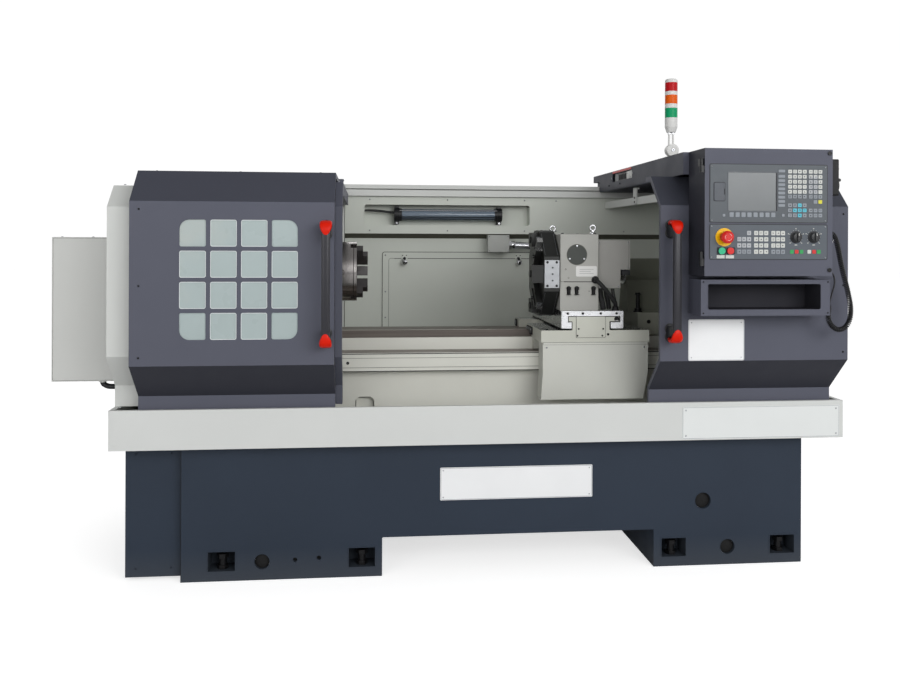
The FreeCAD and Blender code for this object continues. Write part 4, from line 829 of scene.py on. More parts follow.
KEY_FACE = -234.2
AX_K = (2072.0, 2087.7, 2103.2, 2118.7, 2138.0, 2153.4, 2168.8)
KEY_MARKS = []
for r, z in enumerate((1304.3, 1288.8, 1273.3, 1257.9, 1242.6, 1227.8)):
    for c, x in enumerate(AX_K):
        KEY_MARKS.append((x, z, (r * 3 + c * 2 + r * c) % 8))
for c, x in enumerate(AX_K):
    KEY_MARKS += [(x, 1186.0, (c * 3 + 1) % 8), (x, 1170.6, (c * 5 + 2) % 8)]
for c, x in enumerate(AX_K[:4]):
    KEY_MARKS.append((x, 1201.6, (c + 6) % 8))
for g, gx in enumerate(((1911.9, 1927.2, 1942.6), (1965.0, 1980.9, 1996.9), (2019.4, 2034.7, 2050.0))):
    for r, z in enumerate((1116.1, 1097.2, 1078.3, 1059.3)):
        for c, x in enumerate(gx):
            if g or r or c == 2:
                KEY_MARKS.append((x, z, (g * 2 + r * 3 + c) % 8))
for kx, kz, kind in KEY_MARKS:
    glyph(kx, kz, kind, KEY_FACE)
piece("key_marks", bm, ["mark"], "pendant_front")


def fluted(name, node, body, ox, oz, y0, y1, r, mi_keys, bar=True):
    bm = bmesh.new()
    n = 48
    prof = [(1.0, y0), (1.0, y0 - 3), (0.93, y0 - 4), (0.93, y1 + 2), (0.86, y1 + 0.4), (0.80, y1)]
    rings = []
    for f, y in prof:
        rr = []
        for k in range(n):
            th = 2 * math.pi * k / n
            fl = 1.0 if f > 0.99 else 1.0 - 0.045 * (0.5 - 0.5 * math.cos(16 * th))
            rr.append(bm.verts.new(Vector((ox + r * f * fl * math.cos(th), y, oz + r * f * fl * math.sin(th)))))
        rings.append(rr)
    for a, b in zip(rings, rings[1:]):
        for k in range(n):
            j = (k + 1) % n
            bm.faces.new((a[k], a[j], b[j], b[k]))
    bm.faces.new(rings[0])
    bm.faces.new(rings[-1])
    if bar:
        loft(bm, "y", [(rrect(ox - 3, oz - r * 0.86, ox + 3, oz + r * 0.86, 2.5, 4), y1 + 0.5), (rrect(ox - 3, oz - r * 0.86, ox + 3, oz + r * 0.86, 2.5, 4), y1 - 5),
                       (rrect(ox - 2, oz - r * 0.8, ox + 2, oz + r * 0.8, 1.6, 4), y1 - 6)], 0)
        loft(bm, "y", [(rrect(ox - 0.7, oz + r * 0.25, ox + 0.7, oz + r * 0.8, 0.4, 2), y1 - 5.9), (rrect(ox - 0.7, oz + r * 0.25, ox + 0.7, oz + r * 0.8, 0.4, 2), y1 - 6.25)], 1)
    lathe(bm, (ox, y0 + 0.5, oz), (0, 1, 0), [(3.0, 0), (3.0, abs(y0) - 222.5)], 16, 0)
    o = piece(name, bm, mi_keys, body, 40)
    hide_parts(node)


fluted("feed_override_dial", "feed_override_knob", "feed_override", 2091.6, 1104.3, -233.8, -248.0, 15.5, ["knob", "mark_w"])
fluted("spindle_override_dial", "spindle_override_knob", "spindle_override", 2148.2, 1104.6, -233.8, -248.0, 15.5, ["knob", "mark_w"])
# twist arrows on the stop head
bm = bmesh.new()
for k in range(3):
    a0 = math.radians(20 + 120 * k)
    pts = []
    for q in range(9):
        a = a0 + math.radians(70) * q / 8
        pts.append((1864.5 + 9.5 * math.cos(a), 1103 + 9.5 * math.sin(a)))
    for (xa, za), (xb, zb) in zip(pts, pts[1:]):
        dx, dz = xa - 1864.5, za - 1103
        ex, ez = xb - 1864.5, zb - 1103
        u = [(xa, za), (xb, zb), (1864.5 + ex * 1.13, 1103 + ez * 1.13), (1864.5 + dx * 1.13, 1103 + dz * 1.13)]
        loft(bm, "y", [(u, -267.9), (u, -268.0)], 0)
piece("stop_head_arrows", bm, ["red_dark"], "e_stop")

# ------------------------------------------------------------ cross slide and turret
bm = bmesh.new()
for x in (1462.9, 1514.6, 1576.4, 1630.6):
    socket_screw(bm, (x, 118.5, 845), (0, -1, 0), 4.2, 3.4, 0, 1)
hoop(bm, "y", 1491.8, 762.8, 1593.2, 835.0, 1.1, 120.2, 117.9, 3, 2)
rect_line(bm, "y", 1444.0, 950.6, 1577.4, 1113.6, 1.0, 154.2, 153.7, 2, 3)
piece("slide_screws", bm, ["black_screw", "dark_gap", "seam"], "cross_slide")
bm = bmesh.new()
lathe(bm, (1502, 155.2, 1043), (0, -1, 0), [(33.4, -0.4), (33.4, 1.6), (32.6, 2.4), (0, 2.4)], 48, 0, close=False)
lathe(bm, (1502, 154.2, 1043), (0, -1, 0), [(35.8, -0.4), (35.8, 0.5), (33.2, 0.5), (33.2, -0.4)], 48, 1, close=False)
for a in (90, 210, 330):
    slot_screw(bm, (1502 + 29.2 * math.cos(math.radians(a)), 152.9, 1043 + 29.2 * math.sin(math.radians(a))), (0, -1, 0), 3.4, 2)
plate(bm, "y", 1499, 968, 1572, 1004, 154.0, 153.2, 5, 0.2, 3)                                             # bare tag
for k in range(3):
    u = [(1511, 992 - 7 * k), (1560 - 10 * (k % 2), 992 - 7 * k), (1560 - 10 * (k % 2), 993.4 - 7 * k), (1511, 993.4 - 7 * k)]
    loft(bm, "y", [(u, 153.3), (u, 153.05)], 4)
for x, z, r in ((1463.1, 992.9, 2.6), (1473.2, 963.7, 2.6), (1544.9, 918.2, 2.2)):                          # plugged tapped holes
    lathe(bm, (x, 154.0, z), (0, -1, 0), [(r, -0.3), (r, 0.25), (r * 0.7, 0.25), (r * 0.65, -0.2), (0, -0.2)], 14, 5, close=False)
for x in (1474, 1501.5, 1560):                                                                              # clamping bolts in their niches
    loft(bm, "y", [(rrect(x - 6.5, 905.7, x + 6.5, 935.6, 5, 5), 153.95), (rrect(x - 6.5, 905.7, x + 6.5, 935.6, 5, 5), 153.5)], 5)
    lathe(bm, (x, 150.5, 907), (0, 0, 1), [(3.6, 0), (3.6, 16), (7.4, 16.2), (7.8, 17), (7.8, 25), (7.0, 26), (3.6, 26), (3.4, 22.5), (0, 22.5)], 20, 6, close=False)
    lathe(bm, (x, 150.5, 905.9), (0, 0, 1), [(8.6, 0), (8.6, 1.6), (0, 1.6)], 20, 6, close=False)
for x in (1450, 1571):                                                                                     # lid screws on the top of the turret head
    for y in (166, 422):
        socket_screw(bm, (x + (4 if x < 1500 else -4), y, 1113.9), (0, 0, 1), 5.0, 3.2, 6, 5)
loft(bm, "y", [(rrect(1457, 949.1, 1556, 951.4, 0.6, 2), 154.1), (rrect(1457, 949.1, 1556, 951.4, 0.6, 2), 153.6)], 5)
piece("turret_front_trim", bm, ["cover_dark", "seam", "zinc", "tag", "tag_line", "dark_gap", "black_screw"], "cross_slide")
bm = bmesh.new()
loft(bm, "y", [(rrect(1686.4, 994, 1687.4, 1091, 0.3, 2), 166.2), (rrect(1686.4, 994, 1687.4, 1091, 0.3, 2), 165.75)], 0)
plate(bm, "y", 1662.5, 973, 1692, 989.5, 200, 168, 1.5, 0.8, 1)                                            # block under the step
for x, z in ((1584.5, 1086), (1684, 1086), (1584.5, 934), (1651, 934), (1684, 1000)):
    button_screw(bm, (x, 166.0, z), (0, -1, 0), 2.8, 2, 3)
for k in range(7):                                                                                          # cooling slots of the fan end
    loft(bm, "x", [(rrect(200, 1012 + 10 * k, 362, 1016 + 10 * k, 1.8, 3), 1691.9), (rrect(200, 1012 + 10 * k, 362, 1016 + 10 * k, 1.8, 3), 1692.4)], 3)
piece("motor_cover_trim", bm, ["seam", "plastic", "zinc", "dark_gap"], "cross_slide")
bm = bmesh.new()
# second hose and its gland beside the turret cable, both with ribs
for off, r in ((0, 0), (1, 0)):
    pts = [(1566, 137.5, 957), (1584, 128.2, 938), (1598, 129.5, 921), (1612, 131, 904), (1624, 136, 890), (1634, 143, 876)] if off == 0 else \
          [(1588, 176, 926), (1589, 172, 908), (1592, 168, 890), (1596, 166, 874), (1598, 168, 856)]
    if off == 0:
        ln = smooth_line(pts, 10)
        for q in range(2, len(ln) - 2, 2):
            t = (ln[q + 1] - ln[q - 1]).normalized()
            lathe(bm, ln[q], t, [(7.2, -0.9), (7.75, -0.5), (7.75, 0.5), (7.2, 0.9)], 14, 0, close=False)
    else:
        tube_along(bm, smooth_line(pts, 8), 9.5, 14, 0)
        tube_along(bm, smooth_line([(p[0] + 24, p[1] + 14, p[2]) for p in pts], 8), 8, 14, 0)
        tube_along(bm, smooth_line([(p[0] + 46, p[1] + 4, min(p[2], 925)) for p in pts], 8), 6, 12, 1)
lathe(bm, (1566, 153.8, 957), (0, -1, 0), [(13, 0), (13, 3), (11, 4), (11, 10), (8.5, 13), (8.5, 15.5)], 20, 2)
lathe(bm, (1636, 150, 853.0), (0, 0, 1), [(13, 0), (13, 4), (10.5, 5), (10.5, 11), (8.2, 14)], 20, 2)
piece("turret_hoses", bm, ["rubber", "hose", "black_screw"], "cross_slide")
for nm, x, y in (("eye_bolt_front", 1566, 190), ("eye_bolt_rear", 1468, 395)):
    bm = bmesh.new()
    lathe(bm, (x, y, 1113.9), (0, 0, 1), [(10.5, 0), (10.5, 2.2), (8.5, 4.8), (5.6, 7.5), (5.0, 11)], 24, 0, close=False)
    piece(nm, bm, ["chrome"], "cross_slide")

# disc plates: screws, index notches; the tools' inserts
bm = bmesh.new()


def station(bm, k, fn):
    # build at the front station, then turn about the disc axis
    before = set(bm.verts)
    fn()
    new = [v for v in bm.verts if v not in before]
    a = -math.radians(45 * k)
    c, s_ = math.cos(a), math.sin(a)
    for v in new:
        y, z = v.co.y - 293, v.co.z - 977
        v.co.y, v.co.z = 293 + y * c - z * s_, 977 + y * s_ + z * c


def plate_screws():
    for hx, hz in ((1398, 40), (1430, 40), (1398, -40), (1430, -40)):
        socket_screw(bm, (hx, 143.8, 977 + hz), (0, -1, 0), 4.4, 1.0, 0, 1)
    for hz in (22, 0, -22):
        socket_screw(bm, (1416, 143.8, 977 + hz), (0, -1, 0), 3.4, 0.9, 2, 1)


def insert():
    u = [(1363.5, 130.6), (1386.5, 130.6), (1375, 126.5), (1363.5, 126.5)]
    loft(bm, "z", [([(1366, 128.5), (1380, 128.5), (1386, 138), (1368, 141)], 987.0), ([(1366, 128.5), (1380, 128.5), (1386, 138), (1368, 141)], 991.2)], 3)
    lathe(bm, (1374.5, 134.5, 991.2), (0, 0, 1), [(2.2, 0), (2.2, 0.6), (1.0, 0.6), (0.9, 0.1)], 12, 0)
    for q in (150, 190):
        socket_screw(bm, (1360, q - 0.0, 958), (-1, 0, 0), 4.0, 1.5, 0, 1) if q < 170 else None


for k in (0, 2, 6):
    station(bm, k, plate_screws)
for k in (1, 7):
    station(bm, k, insert)
for k in range(8):                                                                                          # edge grooves of the disc
    def groove():
        for hx in (1392.5, 1435.5):
            loft(bm, "z", [([(hx - 0.8, 149.6), (hx + 0.8, 149.6), (hx + 0.8, 150.4), (hx - 0.8, 150.4)], 925), ([(hx - 0.8, 149.6), (hx + 0.8, 149.6), (hx + 0.8, 150.4), (hx - 0.8, 150.4)], 1029)], 2)
    if k in (1, 3, 4, 5, 7):
        station(bm, k, groove)
piece("disc_screws", bm, ["black_screw", "dark_gap", "grey_metal", "grey_metal"], "turret")
bm = bmesh.new()
lathe(bm, (1387.4, 293, 977), (-1, 0, 0), [(62, -0.2), (62, 3.4), (60, 5), (34, 5), (32, 3), (22, 3), (20, 1), (0, 1)], 48, 0, close=False)
for k in range(6):
    a = math.radians(60 * k + 30)
    socket_screw(bm, (1382.4, 293 + 48 * math.cos(a), 977 + 48 * math.sin(a)), (-1, 0, 0), 5.5, 3.5, 1, 2)
for k in range(8):
    a = math.radians(45 * k)
    lathe(bm, (1387.9, 293 + 96 * math.cos(a), 977 + 96 * math.sin(a)), (-1, 0, 0), [(6, 0), (6, 0.8), (4.2, 1.1), (4.0, 0.2), (0, 0.2)], 16, 3, close=False)
piece("disc_hub", bm, ["oxide", "black_screw", "dark_gap", "grey_metal"], "turret")

# ------------------------------------------------------------ carriage
bm = bmesh.new()
for x, z in ((1496.5, 793.0), (1589.0, 793.0), (1500.5, 770), (1586, 770)):
    socket_screw(bm, (x + (4 if x < 1500 else -4), 117.6, z), (0, -1, 0), 3.0, 0.8, 0, 1)
lathe(bm, (1602.7, 120, 773.9), (0, -1, 0), [(4.4, -0.2), (4.4, 0.5), (3.6, 0.7), (3.2, 0.1), (0, 0.1)], 16, 1, close=False)
for x in (1398, 1450, 1660, 1718):                                                                          # screws through the front wing
    socket_screw(bm, (x, 150, 787.8), (0, 0, 1), 5.5, 2.2, 0, 1)
for x in (1392, 1728):                                                                                      # apron screws at its top edge
    for y in (120.8,):
        button_screw(bm, (x, y, 730), (0, -1, 0), 3.4, 2, 1)
rect_line(bm, "y", 1379.6, 739, 1741.6, 747.6, 0.9, 121.1, 120.7, 3, 1)
for xa, sgn in ((1373.0, -1), (1746.0, 1)):                                                                 # way wipers at both ends of the wings
    for (y0, y1, z0, z1) in ((276, 372, 752, 784), (600, 634, 752, 784)):
        b0, f0 = xa, xa + sgn * 5.0
        loft(bm, "x", [(rrect(y0, z0 + 6, y1, z1, 3, 4), b0), (rrect(y0, z0 + 6, y1, z1, 3, 4), f0)], 4)
        loft(bm, "x", [(rrect(y0 + 3, z0 + 11, y1 - 3, z1 - 3, 2, 4), f0), (rrect(y0 + 3, z0 + 11, y1 - 3, z1 - 3, 2, 4), f0 + sgn * 1.6)], 5)
        for yy in (y0 + 9, y1 - 9):
            button_screw(bm, (f0 + sgn * 1.4, yy, z1 - 9), (sgn, 0, 0), 2.6, 2, 1)
lathe(bm, (1560, 120.9, 690), (0, -1, 0), [(0.5, 0), (0.5, 0.1)], 6, 3)
piece("carriage_trim", bm, ["black_screw", "dark_gap", "zinc", "seam", "rubber", "grey_metal"], "carriage")

bm = bmesh.new()                                                                                            # shadow gap round the slide, gib screw
for x0, z0, x1, z1 in ((1464.1, 833.4, 1643.4, 835.9), (1464.1, 815.6, 1466.6, 833.6), (1464.1, 815.6, 1479, 818.0), (1477.1, 789, 1479.4, 815.8),
                       (1640.9, 815.6, 1643.4, 833.6), (1608, 815.6, 1643.4, 818.0), (1607.6, 789, 1609.9, 815.8)):
    loft(bm, "y", [(rrect(x0, z0, x1, z1, 0.4, 2), 120.2), (rrect(x0, z0, x1, z1, 0.4, 2), 119.4)], 0)
lathe(bm, (1632.4, 120.3, 825.6), (0, -1, 0), [(9.0, 0), (9.0, 1.0), (8.2, 1.4), (0, 1.4)], 28, 0, close=False)
loft(bm, "y", [([(1632.4 + 7.4 * math.cos(math.radians(-150 + 12 * q)), 825.6 + 7.4 * math.sin(math.radians(-150 + 12 * q))) for q in range(11)], 119.0),
               ([(1632.4 + 7.4 * math.cos(math.radians(-150 + 12 * q)), 825.6 + 7.4 * math.sin(math.radians(-150 + 12 * q))) for q in range(11)], 118.2)], 1)
piece("slide_outline", bm, ["dark_gap", "steel"], "carriage")

# ------------------------------------------------------------ chuck and jaws
bm = bmesh.new()
for k in range(3):
    a = math.radians(60 + 120 * k)
    socket_screw(bm, (741.5, 445 + 72 * math.cos(a), 976 + 72 * math.sin(a)), (1, 0, 0), 7.2, 9.5, 0, 1)
for rr, x in ((40, 752.7), (58, 752.7)):                                                                    # turned grooves on the face
    lathe(bm, (x, 445, 976), (1, 0, 0), [(rr, 0), (rr, 0.5), (rr - 1.2, 0.5), (rr - 1.2, 0)], 64, 1, close=False)
for x in (679, 742):
    lathe(bm, (x, 445, 976), (1, 0, 0), [(107.7, -1.2), (107.7, 1.2)], 72, 2, close=False)
for k in range(3):                                                                                          # key sockets between the jaws
    a = math.radians(60 + 120 * k)
    d = Vector((0, math.cos(a), math.sin(a)))
    lathe(bm, Vector((700, 445, 976)) + d * 107.2, d, [(10.5, 0), (10.5, 0.7), (8.4, 0.9), (8.2, 0.2)], 24, 2)
    u = lathe(bm, Vector((700, 445, 976)) + d * 107.3, d, [(6.4, 0), (6.4, 0.9)], 4, 1)
lathe(bm, (664.6, 445, 976), (1, 0, 0), [(104, -3), (107.0, -1), (107.0, 0.2)], 72, 2, close=False)
piece("chuck_bolts", bm, ["black_screw", "dark_gap", "chuck_ring"], "main_spindle")
for k, a in enumerate((120, 240, 0)):
    bm = bmesh.new()
    ca, sa = math.cos(math.radians(a)), math.sin(math.radians(a))
    for zz, xx in ((86, 763), (62, 779)):
        socket_screw(bm, (xx, 445 + zz * ca, 976 + zz * sa), (1, 0, 0), 6.4, 8.0, 0, 1)
    # grip serrations on the step towards the centre
    before = set(bm.verts)
    for q in range(6):
        loft(bm, "y", [([(756 + q * 5.6, 37.3), (759 + q * 5.6, 37.3), (757.5 + q * 5.6, 38.2)], -15), ([(756 + q * 5.6, 37.3), (759 + q * 5.6, 37.3), (757.5 + q * 5.6, 38.2)], 15)], 2)
    new = [v for v in bm.verts if v not in before]
    for v in new:                                       # local z is the radial direction
        y, z = v.co.y, v.co.z
        v.co.y, v.co.z = 445 + z * ca - y * sa, 976 + z * sa + y * ca
    piece("jaw_%d_screws" % (k + 1), bm, ["black_screw", "dark_gap", "jaw"], "jaw_%d" % (k + 1))

# ------------------------------------------------------------ rear wall, lamp, rails
bm = bmesh.new()
hoop(bm, "y", 853.6, 637.6, 1540.4, 1040.4, 2.4, 999.9, 999.0, 11, 0, 6)                 # shadow line round the access panel
hoop(bm, "y", 881, 665, 1513, 1013, 1.7, 993.2, 992.6, 11, 1, 6)                         # pressed line in the panel
hoop(bm, "y", 877.5, 661.5, 1516.5, 1016.5, 1.0, 993.2, 992.75, 13, 2, 6)
loft(bm, "y", [(rrect(905, 1010.6, 1500, 1012.8, 1, 2), 993.1), (rrect(905, 1010.6, 1500, 1012.8, 1, 2), 992.4)], 0)
for x in (868, 1526):
    for z in (655, 760, 870, 1026):
        button_screw(bm, (x, 993.0, z), (0, -1, 0), 3.6, 3, 4)
hoop(bm, "y", 774, 1150, 1489, 1244, 1.2, 960.1, 959.4, 14, 2, 6)                        # bead round the lamp recess
for x in (800, 1130, 1462):
    for z in (1131, 1262):
        button_screw(bm, (x, 960.0, z), (0, -1, 0), 3.4, 3, 4)
for x in (1600, 1900, 2200):
    for z in (1131, 1262):
        button_screw(bm, (x, 960.0, z), (0, -1, 0), 3.4, 3, 4)
# dark strip across the rear wall just under the upper cover: painted shadow of its overhang
u = [(700.5, 1098.6), (2326, 1098.6), (2326, 1101.0), (700.5, 1101.0)]
loft(bm, "y", [(u, 999.9), (u, 999.0)], 0)
piece("rear_wall_trim", bm, ["dark_seam_and_shade", "seam_mid", "guard", "zinc", "dark_gap"], "machine_frame")
bm = bmesh.new()
for x0, s in ((914.9, 1), (1355.1, -1)):                                                  # lamp ends: ribs, clamps, screws
    for q in range(4):
        lathe(bm, (x0 - 8.8 * s + q * 5.6 * s, 984, 1199), (s, 0, 0), [(27.9, 0), (29.0, 0.4), (29.0, 2.4), (27.9, 2.8)], 40, 0, close=False)
    lathe(bm, (x0 + 11.2 * s, 984, 1199), (s, 0, 0), [(26.5, 0), (26.5, 9), (24.6, 10.5), (24.2, 10.5)], 40, 0, close=False)
    socket_screw(bm, (x0, 977.5, 1163), (0, -1, 0), 4.2, 3, 1, 2)
for z, r in ((1221.0, 2.2),):
    tube_along(bm, [(926, 964.5, z - 5), (1344, 964.5, z - 5)], 2.4, 8, 1)
tube_along(bm, [(926, 962.0, 1189), (1344, 962.0, 1189)], 2.2, 8, 0)
tube_along(bm, [(926, 965.5, 1181), (1344, 965.5, 1181)], 1.6, 8, 0)
for x in (1304.5, 1384.5):                                                                # junction box: lid line and screws
    for z in (1047, 1107):
        button_screw(bm, (x, 918, z), (0, -1, 0), 2.8, 1, 2)
hoop(bm, "x", 921, 1044, 957, 1110, 1.0, 1390.0, 1390.5, 3, 2, 4)
lathe(bm, (1390.0, 938, 1070), (1, 0, 0), [(21, 0), (21, 5), (19, 6), (19, 12), (16.6, 14), (16.6, 20)], 6, 1)
lathe(bm, (1390.0, 938, 1070), (1, 0, 0), [(17.5, 12), (17.5, 24), (16.2, 26)], 24, 1, close=False)
ln = smooth_line([(1416, 938, 1070), (1470, 938, 1068), (1560, 938, 1060), (1626, 945, 1055)], 22)
for q in range(2, len(ln) - 2):                                                            # ribs of the metal hose
    t = (ln[q + 1] - ln[q - 1]).normalized()
    lathe(bm, ln[q], t, [(15.0, -1.0), (15.75, -0.5), (15.75, 0.5), (15.0, 1.0)], 20, 1, close=False)
piece("lamp_fittings", bm, ["plastic", "chrome", "dark_gap"], "machine_frame")
bm = bmesh.new()
for z, w in ((1306.3, 1.8),):                                                              # seams along the rear rail
    u = [(700, z - w), (1780, z - w), (1780, z), (700, z)]
    loft(bm, "y", [([(62, z - w), (2348, z - w), (2348, z), (62, z)], 951.6), ([(62, z - w), (2348, z - w), (2348, z), (62, z)], 945.5)], 0)
piece("rail_seams", bm, ["dark_seam_and_shade"], "machine_frame")
# knobs of the access panel: turned bright caps
for i, x in enumerate((949, 1441)):
    bm = bmesh.new()
    lathe(bm, (x, 976.5, 996.0), (0, -1, 0), [(3, 0), (8.5, 1), (11.3, 5), (11.6, 10), (10.2, 15), (6.5, 18), (3.5, 18.6), (0, 18.7)], 28, 0, close=False)
    lathe(bm, (x, 993.0, 1012), (0, -1, 0), [(8.0, 0), (8.0, 2), (6.4, 4), (5.4, 5), (5.4, 9)], 24, 0, close=False)
    for dx in (-8, 8):
        button_screw(bm, (x + dx, 989.8, 1025.0), (0, -1, 0), 2.3, 1, 1)
    piece("panel_knob_%d" % (i + 1), bm, ["chrome", "black_screw"], "machine_frame")

# ------------------------------------------------------------ bed, tray, base
bm = bmesh.new()
def strip(bm, x0, z0, x1, z1, y0, y1, mi):
    u = [(x0, z0), (x1, z0), (x1, z1), (x0, z1)]
    loft(bm, "y", [(u, y0), (u, y1)], mi)
# the near-black lines under the ledge and along the flange's bottom edge are painted shade
strip(bm, 92, 703.5, 2148, 706.2, 195.1, 194.2, 0)                                          # lines along the front way
strip(bm, 92, 690.0, 2148, 691.2, 195.1, 194.5, 1)
strip(bm, 92, 658.0, 2148, 659.4, 195.1, 194.4, 1)
strip(bm, 92, 644.2, 2148, 647.4, 195.1, 194.3, 2)
for x in (726, 1712):                                                                       # lifting plugs at the ends of the front way
    socket_screw(bm, (x, 195.0, 674.5), (0, -1, 0), 5.2, 0.9, 3, 2)
piece("bed_front_trim", bm, ["dark_gap", "seam", "dark_seam_and_shade", "black_screw"], "machine_frame")
bm = bmesh.new()
plate(bm, "y", 738, 446.5, 830, 566, 265.2, 262.4, 4, 0.4, 0)                                    # baffle behind the chip window
for x0, z0, x1, z1 in ((751.7, 546.6, 815.8, 549.4), (751.7, 446.5, 754.1, 549.4), (813.6, 446.5, 815.8, 540)):
    loft(bm, "y", [(rrect(x0, z0, x1, z1, 1.0, 3), 262.4), (rrect(x0, z0, x1, z1, 1.0, 3), 261.9)], 1)
piece("chip_window_baffle", bm, ["cream", "dark_gap"], "machine_frame")
bm = bmesh.new()
for x, z in ((310, 520), (460, 470)):
    pass
for x in (20, 2354):                                                                        # hold-down screws of the tray
    for y in (60, 970):
        button_screw(bm, (x, y, 561.0), (0, 0, 1), 3.4, 0, 1)
for y in (120, 360, 620, 900):
    button_screw(bm, (7, y, 561.0), (0, 0, 1), 3.4, 0, 1)
    button_screw(bm, (2367, y, 561.0), (0, 0, 1), 3.4, 0, 1)
for x in range(160, 2300, 240):
    hex_bolt(bm, (x, 1030.0, 470), (0, 1, 0), 6.0, 4.5, 0)
hoop(bm, "z", 1268, 268, 1332, 332, 3, 441.0, 442.2, 30, 1, 8)
piece("tray_fasteners", bm, ["zinc", "dark_gap"], "machine_frame")
bm = bmesh.new()
for cx, cz, r in ((458.5, 58.5, 24), (563, 61.5, 7), (639, 65.5, 7), (1918, 217, 27), (2004, 60, 25)):   # rolled edges of the holes
    lathe(bm, (cx, 70.0, cz), (0, -1, 0), [(r, -6), (r, -0.6), (r + 0.9, 0.5), (r + 2.6, 0.5), (r + 3.4, -0.2)], 40, 0, close=False)
for cx, cz, r in ((1918, 217, 27), (2004, 60, 25), (458.5, 58.5, 24), (563, 61.5, 7), (639, 65.5, 7)):    # dark discs behind the holes: painted shade where the floor would show through
    lathe(bm, (cx, 83.9, cz), (0, -1, 0), [(r - 0.2, -1), (r - 0.2, 1.0), (r * 0.85, 2.5), (r * 0.3, 3.0), (0, 3.0)], 36, 3, close=False)
for x0, x1 in ((288.5, 374), (734, 819), (1775, 1859), (2153, 2239)):                        # machined lips of the levelling pockets
    hoop(bm, "y", x0 - 3.5, 28.5, x1 + 3.5, 97.5, 3.6, 70.2, 69.0, 3, 0, 3)
    cx = (x0 + x1) / 2
    hex_bolt(bm, (cx, 103, 80.0), (0, 0, 1), 0.2, 0.3, 2) if False else None
strip(bm, 205.5, 433.8, 2262, 437.0, 70.2, 69.2, 1)
strip(bm, 204.2, 10, 205.6, 433, 70.3, 69.6, 1)
piece("base_trim", bm, ["base", "black_screw", "zinc", "dark_gap"], "machine_frame")
bm = bmesh.new()
for x, y, z in ((27, 140, 40), (27, 140, 405), (27, 830, 40), (27, 830, 405), (27, 485, 40), (27, 485, 405)):
    button_screw(bm, (x, y, z), (-1, 0, 0), 4.2, 0, 1)
for x in (60, 170):
    for z in (40, 405):
        button_screw(bm, (x, 98, z), (0, -1, 0), 4.2, 0, 1)
        button_screw(bm, (x, 872, z), (0, 1, 0), 4.2, 0, 1)
hoop(bm, "x", 320, 240, 580, 380, 2.0, 27.0, 26.4, 6, 2, 4)
piece("end_panel_screws", bm, ["base", "base_in"], "machine_frame")

# ------------------------------------------------------------ fixed covers and belt guard
bm = bmesh.new()
for z in (640, 760, 860, 960, 1070):
    button_screw(bm, (-251, 275, z), (-1, 0, 0), 4.0, 0, 1)
    button_screw(bm, (-251, 835, z), (-1, 0, 0), 4.0, 0, 1)
for y in (380, 480, 580, 700):
    button_screw(bm, (-251, y, 1078), (-1, 0, 0), 4.0, 0, 1)
    button_screw(bm, (-251, y, 632), (-1, 0, 0), 4.0, 0, 1)
for x in (-225, -125, -25):
    for y in (272, 838):
        button_screw(bm, (x, y, 1096), (0, 0, 1), 4.0, 0, 1)
lathe(bm, (-251, 445, 976), (-1, 0, 0), [(56, 0), (56, 1.0), (54.5, 2.0), (41, 2.0), (40, 1.0), (40, -1)], 48, 2, close=False)   # collar of the bar opening
for k in range(6):
    a = math.radians(60 * k + 30)
    button_screw(bm, (-253, 445 + 48 * math.cos(a), 976 + 48 * math.sin(a)), (-1, 0, 0), 3.2, 0, 1)
hoop(bm, "x", 253.5, 618.5, 856.5, 1092.5, 1.2, -250.9, -251.5, 6, 3, 4)
hoop(bm, "y", -248, 618, -4, 1093, 1.0, 250.1, 249.6, 4, 3, 4)
for k in range(9):                                                                            # cooling slots over the belt
    y0 = 560 + k * 26
    loft(bm, "x", [(rrect(y0, 690, y0 + 9, 800, 4, 4), -250.9), (rrect(y0, 690, y0 + 9, 800, 4, 4), -251.4)], 1)
lathe(bm, (-100, 300, 614.8), (0, 0, -1), [(14.5, -0.2), (14.5, 4), (12.4, 5), (12.4, 9), (9.6, 11)], 6, 2)
piece("belt_guard_fasteners", bm, ["zinc", "dark_gap", "cover", "seam"], "machine_frame")
bm = bmesh.new()
for y in (70, 260, 450, 640, 800):                                                            # cover screws: roofs and ends
    for x in (30, 350, 655):
        button_screw(bm, (x, y, 1261), (0, 0, 1), 4.0, 0, 1) if not (95 < x < 680 and False) else None
for y, z in ((0, 1190), (0, 1000), (0, 800), (160, 600), (160, 1230), (860, 1240)):
    pass
for y in (40, 330, 600, 820):
    button_screw(bm, (2312, y, 1235), (1, 0, 0), 4.0, 0, 1)
    button_screw(bm, (2312, y + 20, 590), (1, 0, 0), 4.0, 0, 1)
for z in (760, 900, 1040, 1160):
    button_screw(bm, (2312, -8, z), (1, 0, 0), 4.0, 0, 1)
    button_screw(bm, (2312, 838, z), (1, 0, 0), 4.0, 0, 1)
for k in range(10):
    loft(bm, "x", [(rrect(330 + k * 30, 650, 340 + k * 30, 760, 4.5, 4), 2311.9), (rrect(330 + k * 30, 650, 340 + k * 30, 760, 4.5, 4), 2312.4)], 1)
for x in (1809.0,):
    for z in (1240, 1256):
        button_screw(bm, (1809, 503, z), (-1, 0, 0), 4.2, 2, 1)
piece("cover_fasteners", bm, ["zinc", "dark_gap", "black_screw"], "machine_frame")

